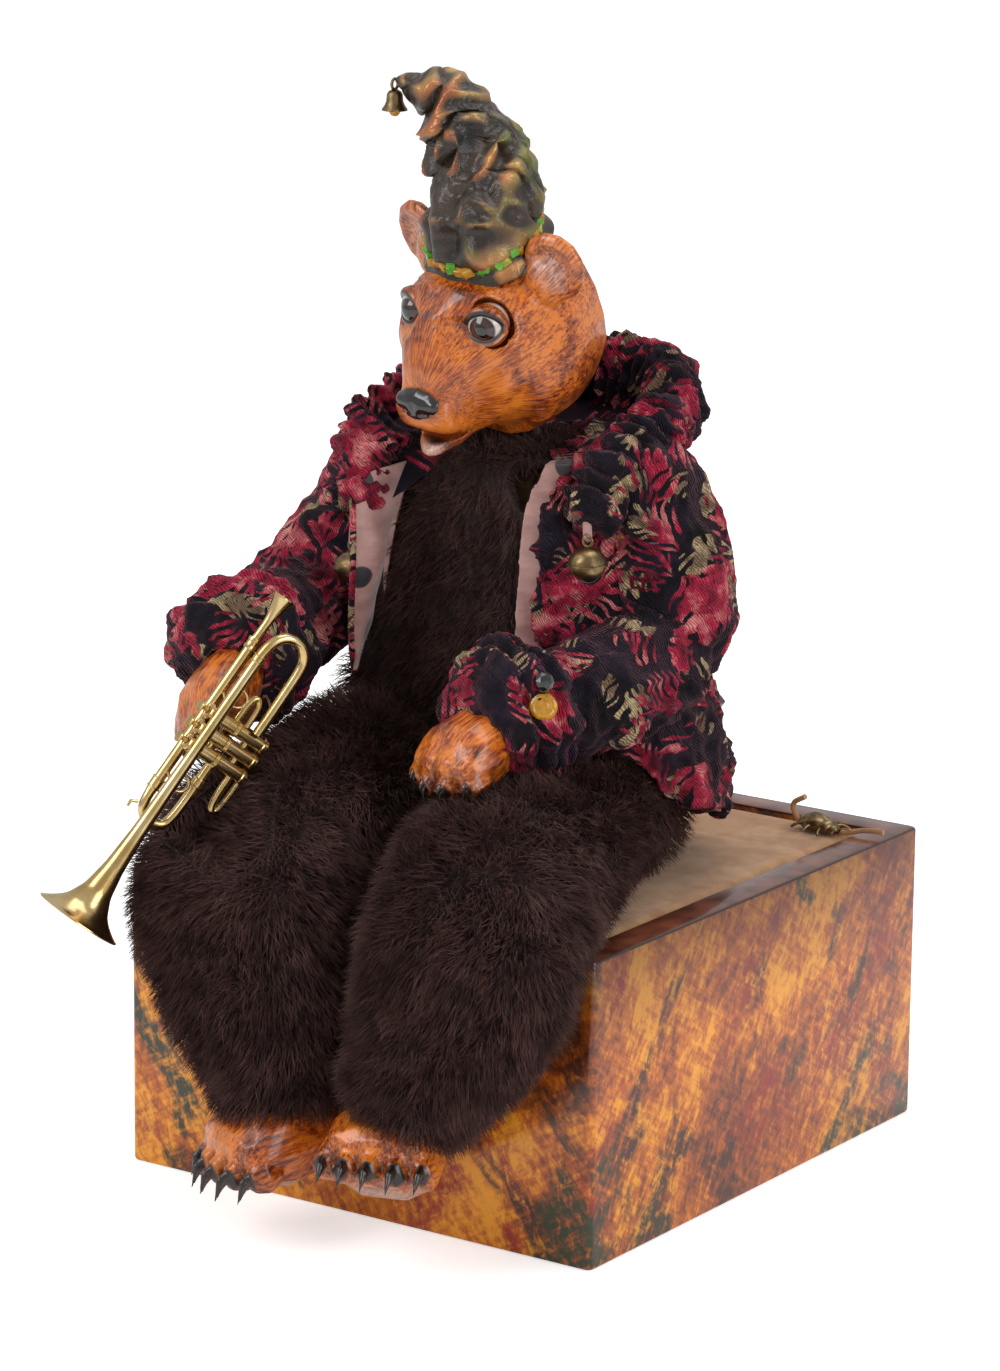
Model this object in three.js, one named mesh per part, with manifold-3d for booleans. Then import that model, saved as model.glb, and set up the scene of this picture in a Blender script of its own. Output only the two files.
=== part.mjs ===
// Crank automaton: a seated, stuffed and carved bear musician on a painted wooden box.
// Millimetres, +Z up. The origin is the middle of the box's underside and the bear faces -Y.
import * as THREE from 'three';
import { mergeVertices } from 'three/addons/utils/BufferGeometryUtils.js';
import Module from 'manifold-3d';

// Box
const BOX_WIDTH = 274;
const BOX_DEPTH = 296;
const BOX_HEIGHT = 152;
const WALL = 18;
const EDGE_ROUND = 1.5;
const CORNER_ROUND = 3;
const BOTTOM_THICK = 9;
const LEDGE_WIDE = 14;
const LEDGE_TALL = 12;
const BOARD_THICK = 12;
const SUEDE_THICK = 2;
const SUEDE_SINK = 2;
const SUEDE_CROWN = 1.4;
const BOARD_PLAY = 0.5;
const GAP = 0.3;
const HATCH_DEEP = 52;
const HINGE_SLIT = 1.5;

// Crank and camshaft
const SHAFT_RADIUS = 4;
const SHAFT_DROP = 30;
const SHAFT_END_PLAY = 2;
const BUSH_RADIUS = 8;
const FLANGE_RADIUS = 11;
const FLANGE_THICK = 1.5;
const CRANK_THROW = 86;
const CRANK_TILT = 5;
const CRANK_WIDE = 17;
const CRANK_THICK = 6;
const CRANK_RUNNING_GAP = 0.8;
const KNOB_RADIUS = 12.5;
const KNOB_LOBE = 1.8;
const KNOB_LOBES = 7;
const KNOB_LONG = 14;
const KNOB_ROUND = 2.5;
const PIN_RADIUS = 3;
const PIN_HEAD_RADIUS = 5;
const PIN_HEAD_THICK = 2;
const BEARING_THICK = 12;
const BEARING_FOOT = 46;
const BEARING_TOP = 26;
const BEARING_ABOVE = 13;
const BEARING_FRONT_Y = -70;
const BEARING_REAR_Y = 56;
const CAM_RADIUS = 22;
const CAM_THICK = 8;
const CAM_HUB = 10;
const CAM_RISE = 4;
const HEAD_CAM_OFFSET = 14;
const CAM_LEAD = 17;
const CAM_STEPS = 28;

// Wooden frame inside the torso
const FRAME_HALF = 30;
const FRAME_FRONT = -44;
const FRAME_BACK = 22;
const FRAME_WALL = 6;
const FRAME_TALL = 193.3;
const NECK_PLATE_THICK = 6;
const GUIDE_UP = 80.3;
const GUIDE_THICK = 12;
const NECK_ROD_RADIUS = 4;
const NECK_ROD_TALL = 240.3;
const NECK_COLLAR_RADIUS = 8;
const NECK_COLLAR_TALL = 4;
const DISC_RADIUS = 20;
const DISC_THICK = 4;
const CAM_CLEARANCE = 0.4;
const ARM_ROD_RADIUS = 3;
const ARM_ROD_Y = -28;
const FOOT_RADIUS = 6.5;
const FOOT_THICK = 3;
const ARM_ROD_HEAD_RADIUS = 5;
const AXLE_RADIUS = 3;
const AXLE_Y = -16;
const AXLE_UP = 184.3;
const LEVER_REACH = 12;
const LEVER_DROP = 22;
const LEVER_THICK = 8;
const LEVER_EYE = 6;
const LEVER_TIP = 3;

// Stuffed body; the figure's places are shares of these three sizes, counted from the seat
const FIGURE_WIDE = 200;
const FIGURE_DEEP = 200;
const FIGURE_TALL = 250;
const TORSO_FOOT = 20;
const HIPS_HALF_WIDE = 76;
const HIPS_HALF_DEEP = 62;
const NECK_DOME = 18;
const KNEE_HALF_WIDE = 54;
const THIGH_HALF_DEEP = 38;
const SHIN_HALF_DEEP = 36;
const ANKLE_HALF_DEEP = 27;
const ANKLE_DOME = 12;
const LEFT_ANKLE_LIFT = 52;
const RIGHT_ANKLE_LIFT = 38;
const LEG_CLEARANCE = 0.6;
const FUR_CLEARANCE = 1;

// Feet and paws
const FOOT_LONG = 58;
const FOOT_HALF_WIDE = 31;
const FOOT_HALF_TALL = 21;
const TOES = 5;
const TOE_RADIUS = 8;
const CLAW_LONG = 16;
const CLAW_RADIUS = 2.8;
const PAW_LONG = 43;
const PAW_HALF_WIDE = 24;
const PAW_HALF_TALL = 17;
const FINGERS = 4;
const FINGER_RADIUS = 7;
const FOOT = { long: FOOT_LONG, halfWide: FOOT_HALF_WIDE, halfTall: FOOT_HALF_TALL, toes: TOES,
  toeRadius: TOE_RADIUS };
const PAW = { long: PAW_LONG, halfWide: PAW_HALF_WIDE, halfTall: PAW_HALF_TALL, toes: FINGERS,
  toeRadius: FINGER_RADIUS };
const RIGHT_FOOT_SHARES = [0.172, 0.33, -0.27];
const RIGHT_FOOT_AIM = { turn: -25, droop: 12, roll: 0 };
const LEFT_FOOT_SHARES = [-0.2, 0.3, -0.53];
const LEFT_FOOT_AIM = { turn: 18, droop: -12, roll: 0 };
const LEFT_PAW_SHARES = [0.305, -0.6, 0.375];
const LEFT_PAW_AIM = { turn: -12, droop: 22, roll: 0 };
const RIGHT_PAW_SHARES = [-0.372, -0.735, 0.425];
const RIGHT_PAW_AIM = { turn: 8, droop: 34, roll: -40 };
const ARM_PLANE = 65;
const HEAD_TURN = 25;
const ARM_RISE = 20;
const HEAD_ROOM_SHARE = 1.07;

// Head, in its own frame: the bear's left is +X, the nose points to -Y
const HEAD_X = 0;
const HEAD_Y = -18;
const HEAD_UP = 262.3;
const HEAD_YAW = 9;
const HEAD_PITCH = 18;
const HEAD_ROLL = 4;
const SKULL_HALF_WIDE = 45;
const SKULL_HALF_TALL = 43;
const SKULL_BACK_DOME = 24;
const SNOUT_LONG = 58;
const SNOUT_DOME = 15;
const EYE_RADIUS = 11;
const EYE_APART = 24;
const EYE_FORWARD = 40;
const EYE_UP = 25;
const NOSE_HALF_WIDE = 10.5;
const NOSE_HALF_TALL = 7;
const NOSE_HALF_DEEP = 7;
const NOSE_FORWARD = 69;
const NOSE_UP = -4;
const EAR_RADIUS = 17;
const EAR_HALF_THICK = 6;
const EAR_APART = 43;
const EAR_FORWARD = 9;
const EAR_UP = 44;
const EAR_TURN = 10;
const EAR_LEAN = 20;
const EAR_CUP_SHARE = 0.8;
const EAR_ROOT_SHARE = 0.8;
const MOUTH_HALF_WIDE = 17;
const MOUTH_DEEP = 18;
const MOUTH_TALL = 5;
const MOUTH_UP = -22;

// Hat
const HAT_HALF_WIDE = 27;
const HAT_HALF_DEEP = 26;
const HAT_TIP_RADIUS = 2.6;
const HAT_CRUMPLE_SHARE = 0.07;
const BRIM_REACH = 7;
const BRIM_THICK = 2.4;
const BEAD_RADIUS = 3.2;
const BEADS = 26;
const BEAD_LONG_SHARE = 0.84;
const BAND_FORWARD = 10;
const BAND_UP = 57;
const BAND_TILT = 14;
const HAT_BELL_RADIUS = 6.3;
const HAT_BELL_TALL = 10;
const HAT_BELL_SHARES = [[0.35, 0], [0.62, 0.2], [0.7, 0.7], [1, 1]];
const BELL_WALL = 0.9;
const CLAPPER_RADIUS = 2.8;
const WIRE_RADIUS = 0.8;
const LINK_RADIUS = 2.6;

// Jacket
const VELVET_THICK = 5;
const LINING_THICK = 1.2;
const SKIRT_HALF_WIDE = 92;
const SKIRT_HALF_DEEP = 78;
const HEM_UP = 9.3;
const HEM_SLOPE_SHARE = 0.36;
const NECK_SHARE = 0.85;
const COLLAR_RADIUS = 15;
const SLEEVE_RADIUS = 31;
const SHOULDER_SHARE = 0.36;
const WRIST_RADIUS = 26;
const CUFF_RADIUS = 37;
const RUCHE_SHARE = 0.09;
const LAPEL_BELL_RADIUS = 10;
const LAPEL_BELL_SLOT = 2.2;
const RIBBON_WIDE = 5;
const RIBBON_THICK = 1.2;
const BUTTON_RADIUS = 6.7;
const BUTTON_THICK = 4;
const BUTTON_BEAD_RADIUS = 5;
const BUTTON_SHARES = [0.445, -0.61, 0.441];
const LEFT_BELL_SHARES = [0.37, -0.32, 0.665];
const RIGHT_BELL_SHARES = [-0.26, -0.4, 0.6];

// Trumpet: X runs to the bell, Y down the valves and Z from the lead pipe to the bell tube
const BELL_REACH = 98;
const TUBE_RADIUS = 2.7;
const BELL_RIM_RADIUS = 21;
const MOUTHPIECE_REACH = 82;
const MOUTHPIECE_LONG = 30;
const MOUTHPIECE_RIM_RADIUS = 5.2;
const VALVE_RADIUS = 3.8;
const VALVE_LONG = 36;
const VALVE_PITCH = 8.8;
const VALVE_STEM_RADIUS = 1.3;
const VALVE_BUTTON_RADIUS = 3;
const VALVE_BUTTON_THICK = 1.6;
const VALVE_TRAVEL = 4;
const BELL_LOOP_DROP = 22;
const SLIDE_DROP = 18;
const SLIDE_REACH = 37;
const RING_RADIUS = 4.4;
const TRUMPET_SHARES = [-0.2885, -0.983, 0.332];
const BELL_AIM = [-0.35, -0.48, -0.8];
const VALVE_AIM = [0.41, 0.69, -0.6];
const BELL_SHARES = [[-0.56, 0.128], [0.1, 0.14], [0.5, 0.18], [0.7, 0.24], [0.84, 0.35], [0.93, 0.55],
  [0.98, 0.82], [1, 1]];
const MOUTHPIECE_SHARES = [[0.4, 0], [0.08, 0.8], [0, 0.92], [0, 1], [0.1, 1], [0.28, 0.6], [0.4, 0.42],
  [0.78, 0.45],
  [0.8, 0.66], [1.1, 0.66], [1.1, 0]];

// Hatch pull: a beetle and the thong through it
const BEETLE_LONG = 26;
const BEETLE_WIDE_SHARE = 0.5;
const BEETLE_TALL_SHARE = 0.17;
const BEETLE_TURN = 70;
const BEETLE_IN_X = 36;
const BEETLE_IN_Y = 36;
const THONG_RADIUS = 1.5;
const THONG_SHARES = [[-0.3, -0.1, 0.62], [-0.6, -0.05, 0.4], [-0.45, 0, 0.06], [0, 0, 0], [0.5, 0.02, 0],
  [0.95, 0.08, 0.1], [1.35, 0.12, 0.12]];

// Everything that turns a size into a shape
const OVERRUN = 20;
const WELD = 0.0005;
const CAP_RINGS = 2;
const ROUND_SIDES = 16;
const X_AXIS = new THREE.Vector3(1, 0, 0);
const Y_AXIS = new THREE.Vector3(0, 1, 0);
const Z_AXIS = new THREE.Vector3(0, 0, 1);

const FINISHES = {
  paintedWood: { color: 0xb8690f, roughness: 0.3, metalness: 0 },
  plainWood: { color: 0xc9a26b, roughness: 0.7, metalness: 0 },
  darkWood: { color: 0x3a1e10, roughness: 0.3, metalness: 0 },
  carvedWood: { color: 0xa8540f, roughness: 0.3, metalness: 0 },
  blackGloss: { color: 0x0e0b0a, roughness: 0.15, metalness: 0 },
  steel: { color: 0x9a9b9d, roughness: 0.35, metalness: 1 },
  brass: { color: 0xb8923a, roughness: 0.3, metalness: 1 },
  oldBrass: { color: 0x6d5d3a, roughness: 0.45, metalness: 1 },
  suede: { color: 0xc79d6a, roughness: 0.95, metalness: 0 },
  fur: { color: 0x241813, roughness: 1, metalness: 0 },
  velvet: { color: 0x3b1220, roughness: 0.9, metalness: 0 },
  satin: { color: 0xa0706c, roughness: 0.5, metalness: 0 },
  leather: { color: 0x2b2520, roughness: 0.55, metalness: 0 },
  greenGlass: { color: 0x5f9a1c, roughness: 0.1, metalness: 0 },
  amberGlass: { color: 0xd08a1a, roughness: 0.1, metalness: 0 },
  eyeGlass: { color: 0x1a0d08, roughness: 0.05, metalness: 0 },
};

const wasm = await Module();
wasm.setup();
const part = new THREE.Group();

// Solids and booleans

function toSolid(geometry) {
  const bare = geometry.clone();
  for (const name of Object.keys(bare.attributes)) {
    if (name !== 'position') bare.deleteAttribute(name);
  }
  const welded = mergeVertices(bare, WELD);
  const corners = welded.index.array;
  const kept = [];
  for (let i = 0; i < corners.length; i += 3) {
    const [a, b, c] = [corners[i], corners[i + 1], corners[i + 2]];
    if (a !== b && b !== c && c !== a) kept.push(a, b, c);
  }
  const vertProperties = new Float32Array(welded.attributes.position.array);
  return new wasm.Manifold(new wasm.Mesh({ numProp: 3, vertProperties, triVerts: new Uint32Array(kept) }));
}

function toGeometry(solid) {
  const mesh = solid.getMesh();
  const geometry = new THREE.BufferGeometry();
  geometry.setAttribute('position', new THREE.BufferAttribute(new Float32Array(mesh.vertProperties), 3));
  geometry.setIndex(new THREE.BufferAttribute(new Uint32Array(mesh.triVerts), 1));
  return geometry;
}

function cut(base, ...tools) {
  return toGeometry(tools.reduce((solid, tool) => solid.subtract(toSolid(tool)), toSolid(base)));
}

function join(base, ...others) {
  return toGeometry(others.reduce((solid, other) => solid.add(toSolid(other)), toSolid(base)));
}

function meet(base, other) {
  return toGeometry(toSolid(base).intersect(toSolid(other)));
}

// The largest piece that is left where a cut has made several
function largest(geometry) {
  const bodies = toSolid(geometry).decompose();
  bodies.sort((a, b) => b.volume() - a.volume());
  return toGeometry(bodies[0]);
}

function put(name, geometry, finish, parent = part) {
  const mesh = new THREE.Mesh(geometry, new THREE.MeshStandardMaterial(FINISHES[finish]));
  mesh.name = name;
  parent.add(mesh);
  return mesh;
}

// Shapes

function point(x, y, z) {
  return new THREE.Vector3(x, y, z);
}

function slab(x0, x1, y0, y1, z0, z1) {
  const box = new THREE.BoxGeometry(x1 - x0, y1 - y0, z1 - z0);
  return box.translate((x0 + x1) / 2, (y0 + y1) / 2, (z0 + z1) / 2);
}

// A polygon whose flats, not its corners, clear a round piece of this radius
function clearing(radius, sides = ROUND_SIDES) {
  return radius / Math.cos(Math.PI / sides);
}

function bar(from, to, radius, sides = ROUND_SIDES, endRadius = radius) {
  const along = to.clone().sub(from);
  const rod = new THREE.CylinderGeometry(endRadius, radius, along.length(), sides);
  rod.applyQuaternion(new THREE.Quaternion().setFromUnitVectors(Y_AXIS, along.clone().normalize()));
  const middle = from.clone().add(to).multiplyScalar(0.5);
  return rod.translate(middle.x, middle.y, middle.z);
}

function ball(centre, rx, ry, rz, sides = 14) {
  const sphere = new THREE.SphereGeometry(1, sides, Math.round(sides * 0.6));
  return sphere.scale(rx, ry, rz).translate(centre.x, centre.y, centre.z);
}

function tube(points, radius, sides, steps, closed = false) {
  const corners = Array.from({ length: sides }, (_, i) => {
    const angle = (2 * Math.PI * i) / sides;
    return new THREE.Vector2(radius * Math.cos(angle), radius * Math.sin(angle));
  });
  const ring = new THREE.Shape(corners);
  const path = new THREE.CatmullRomCurve3(points, closed);
  return new THREE.ExtrudeGeometry(ring, { steps, extrudePath: path, curveSegments: sides });
}

function turned(profile, sides = ROUND_SIDES) {
  return new THREE.LatheGeometry(profile.map(([radius, height]) => new THREE.Vector2(radius, height)),
    sides);
}

// A stuffed form: oval rings along a smooth route, closed by a dome at each end.
// fold(t, angle) may swell or draw in the surface, as a share of its radius.
function stuffed({ route, wide, deep, domes, across = X_AXIS, sides = 16, steps = 12, square = 2,
  fold = null }, grow = 0) {
  const path = new THREE.CatmullRomCurve3(route, false, 'catmullrom', 0.5);
  const girth = new THREE.CatmullRomCurve3(wide.map((w, i) => point(w, deep[i], 0)), false, 'catmullrom',
    0.5);
  const power = 2 / square;
  const positions = [];
  const bend = (value) => Math.sign(value) * Math.abs(value) ** power;
  const ring = (t, shift, share) => {
    const centre = path.getPoint(t);
    const along = path.getTangent(t);
    const side = across.clone().addScaledVector(along, -across.dot(along)).normalize();
    const rise = along.clone().cross(side);
    const size = girth.getPoint(t);
    centre.addScaledVector(along, shift);
    for (let j = 0; j < sides; j += 1) {
      const angle = (2 * Math.PI * j) / sides;
      const swell = share * (fold ? 1 + fold(t, angle) : 1);
      const corner = centre.clone();
      corner.addScaledVector(side, bend(Math.cos(angle)) * (size.x + grow) * swell);
      corner.addScaledVector(rise, bend(Math.sin(angle)) * (size.y + grow) * swell);
      positions.push(corner.x, corner.y, corner.z);
    }
  };
  const pole = (t, shift) => {
    const tip = path.getPoint(t).addScaledVector(path.getTangent(t), shift);
    positions.push(tip.x, tip.y, tip.z);
  };
  const [startDome, endDome] = domes.map((dome) => dome + grow);
  pole(0, -startDome);
  for (let i = 1; i <= CAP_RINGS; i += 1) {
    const angle = (i / (CAP_RINGS + 1)) * (Math.PI / 2);
    ring(0, -startDome * Math.cos(angle), Math.sin(angle));
  }
  for (let i = 0; i <= steps; i += 1) ring(i / steps, 0, 1);
  for (let i = CAP_RINGS; i >= 1; i -= 1) {
    const angle = (i / (CAP_RINGS + 1)) * (Math.PI / 2);
    ring(1, endDome * Math.cos(angle), Math.sin(angle));
  }
  pole(1, endDome);
  return skin(positions, sides, steps + 1 + 2 * CAP_RINGS);
}

// Faces over rings of points that lie between two poles
function skin(positions, sides, rings) {
  const faces = [];
  const at = (ring, side) => 1 + ring * sides + (side % sides);
  const last = positions.length / 3 - 1;
  for (let j = 0; j < sides; j += 1) {
    faces.push(0, at(0, j + 1), at(0, j));
    for (let i = 0; i < rings - 1; i += 1) {
      faces.push(at(i, j), at(i, j + 1), at(i + 1, j));
      faces.push(at(i, j + 1), at(i + 1, j + 1), at(i + 1, j));
    }
    faces.push(last, at(rings - 1, j), at(rings - 1, j + 1));
  }
  const geometry = new THREE.BufferGeometry();
  geometry.setAttribute('position', new THREE.Float32BufferAttribute(positions, 3));
  geometry.setIndex(faces);
  return geometry;
}

// Levels that the box and the figure share
const INNER_X = BOX_WIDTH / 2 - WALL;
const INNER_Y = BOX_DEPTH / 2 - WALL;
const SUEDE_TOP = BOX_HEIGHT - SUEDE_SINK;
const BOARD_TOP = SUEDE_TOP - SUEDE_THICK;
const BOARD_UNDER = BOARD_TOP - BOARD_THICK;
const HINGE_Y = INNER_Y - HATCH_DEEP;
const SEAT_LEVEL = SUEDE_TOP + SUEDE_CROWN + GAP;
const SHAFT_HEIGHT = BOARD_UNDER - SHAFT_DROP;
const FRAME_TOP = SEAT_LEVEL + FRAME_TALL;
const GUIDE_HEIGHT = SEAT_LEVEL + GUIDE_UP;
const NECK_ROD_TOP = SEAT_LEVEL + NECK_ROD_TALL;
const AXLE_Z = SEAT_LEVEL + AXLE_UP;
const HEAD_Z = SEAT_LEVEL + HEAD_UP;
const DISC_UNDER = SHAFT_HEIGHT + CAM_RADIUS + CAM_CLEARANCE;
const BEETLE_X = BOX_WIDTH / 2 - BEETLE_IN_X;
const BEETLE_Y = BOX_DEPTH / 2 - BEETLE_IN_Y;

// Box

function boxPanels() {
  const outline = new THREE.Shape();
  const [hx, hy, r] = [BOX_WIDTH / 2, BOX_DEPTH / 2, CORNER_ROUND];
  outline.absarc(hx - r, hy - r, r, 0, Math.PI / 2);
  outline.absarc(r - hx, hy - r, r, Math.PI / 2, Math.PI);
  outline.absarc(r - hx, r - hy, r, Math.PI, 1.5 * Math.PI);
  outline.absarc(hx - r, r - hy, r, 1.5 * Math.PI, 2 * Math.PI);
  const rounded = new THREE.ExtrudeGeometry(outline, {
    depth: BOX_HEIGHT - 2 * EDGE_ROUND,
    bevelThickness: EDGE_ROUND,
    bevelSize: EDGE_ROUND,
    bevelOffset: -EDGE_ROUND,
    bevelSegments: 2,
    curveSegments: 2,
  }).translate(0, 0, EDGE_ROUND);
  const hollow = slab(-INNER_X, INNER_X, -INNER_Y, INNER_Y, -OVERRUN, BOX_HEIGHT + OVERRUN);
  const walls = cut(rounded, hollow);
  const mitred = (outer, inner) => {
    const wedge = new THREE.Shape([...outer, ...inner].map(([x, y]) => new THREE.Vector2(x, y)));
    const prism = new THREE.ExtrudeGeometry(wedge,
      { depth: BOX_HEIGHT + 2 * OVERRUN, bevelEnabled: false });
    return meet(walls, prism.translate(0, 0, -OVERRUN));
  };
  const bushHole = bar(point(0, INNER_Y - OVERRUN, SHAFT_HEIGHT), point(0, hy + OVERRUN, SHAFT_HEIGHT),
    clearing(BUSH_RADIUS + GAP));
  put('box_front', mitred([[-hx, -hy], [hx, -hy]], [[INNER_X, -INNER_Y], [-INNER_X, -INNER_Y]]),
    'paintedWood');
  put('box_back', cut(mitred([[hx, hy], [-hx, hy]], [[-INNER_X, INNER_Y], [INNER_X, INNER_Y]]), bushHole),
    'paintedWood');
  put('box_right', mitred([[-hx, hy], [-hx, -hy]], [[-INNER_X, -INNER_Y], [-INNER_X, INNER_Y]]),
    'paintedWood');
  put('box_left', mitred([[hx, -hy], [hx, hy]], [[INNER_X, INNER_Y], [INNER_X, -INNER_Y]]), 'paintedWood');
  put('box_bottom', slab(-INNER_X, INNER_X, -INNER_Y, INNER_Y, 0, BOTTOM_THICK), 'plainWood');
  const ledgeTop = BOARD_UNDER;
  const ring = cut(slab(-INNER_X, INNER_X, -INNER_Y, INNER_Y, ledgeTop - LEDGE_TALL, ledgeTop),
    slab(LEDGE_WIDE - INNER_X, INNER_X - LEDGE_WIDE, LEDGE_WIDE - INNER_Y, INNER_Y - LEDGE_WIDE, 0,
      BOX_HEIGHT));
  put('ledge', ring, 'plainWood');
}

// A thin pad with a flat underside and a low crown
function crownedPad(x0, x1, y0, y1, under, top, crown, cells) {
  const positions = [];
  const faces = [];
  const row = cells + 1;
  for (const upper of [0, 1]) {
    for (let i = 0; i <= cells; i += 1) {
      for (let j = 0; j <= cells; j += 1) {
        const [u, v] = [(2 * i) / cells - 1, (2 * j) / cells - 1];
        const level = upper ? top + crown * (1 - u ** 4) * (1 - v ** 4) : under;
        positions.push(x0 + ((x1 - x0) * i) / cells, y0 + ((y1 - y0) * j) / cells, level);
      }
    }
  }
  const quad = (a, b, c, d) => faces.push(a, b, c, a, c, d);
  const up = row * row;
  for (let i = 0; i < cells; i += 1) {
    for (let j = 0; j < cells; j += 1) {
      const a = i * row + j;
      quad(up + a, up + a + row, up + a + row + 1, up + a + 1);
      quad(a, a + 1, a + row + 1, a + row);
    }
    quad(i * row, (i + 1) * row, up + (i + 1) * row, up + i * row);
    quad((i + 1) * row + cells, i * row + cells, up + i * row + cells, up + (i + 1) * row + cells);
    quad(i + 1, i, up + i, up + i + 1);
    quad(cells * row + i, cells * row + i + 1, up + cells * row + i + 1, up + cells * row + i);
  }
  const geometry = new THREE.BufferGeometry();
  geometry.setAttribute('position', new THREE.Float32BufferAttribute(positions, 3));
  geometry.setIndex(faces);
  return geometry;
}

function seatAndHatch() {
  const reachX = INNER_X - BOARD_PLAY;
  const reachY = INNER_Y - BOARD_PLAY;
  const seatEnd = HINGE_Y - HINGE_SLIT / 2;
  const hatchStart = HINGE_Y + HINGE_SLIT / 2;
  const rodHoles = [[0, NECK_ROD_RADIUS], [ARM_ROD_Y, ARM_ROD_RADIUS]].map(([y, radius]) => (
    bar(point(0, y, BOARD_UNDER - OVERRUN), point(0, y, SUEDE_TOP + OVERRUN), clearing(radius + 2 * GAP))));
  put('seat_board', cut(slab(-reachX, reachX, -reachY, seatEnd, BOARD_UNDER, BOARD_TOP), ...rodHoles),
    'plainWood');
  const hatchEnd = HINGE_Y + Math.sqrt((HATCH_DEEP - BOARD_PLAY) ** 2 - (SUEDE_TOP - BOARD_UNDER) ** 2);
  put('hatch_board', slab(-reachX, reachX, hatchStart, hatchEnd, BOARD_UNDER, BOARD_TOP), 'plainWood');
  const frameRoom = slab(-FRAME_HALF - FUR_CLEARANCE, FRAME_HALF + FUR_CLEARANCE,
    FRAME_FRONT - FUR_CLEARANCE,
    FRAME_BACK + FUR_CLEARANCE, 0, BOX_HEIGHT + OVERRUN);
  const pad = crownedPad(-reachX, reachX, -reachY, seatEnd, BOARD_TOP, SUEDE_TOP, SUEDE_CROWN, 10);
  put('seat_suede', cut(pad, frameRoom), 'suede');
  const flap = crownedPad(-reachX, reachX, hatchStart, reachY, BOARD_TOP, SUEDE_TOP, SUEDE_CROWN / 2, 6);
  put('hatch_suede', flap, 'suede');
}

// Crank, camshaft and bearings

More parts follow.
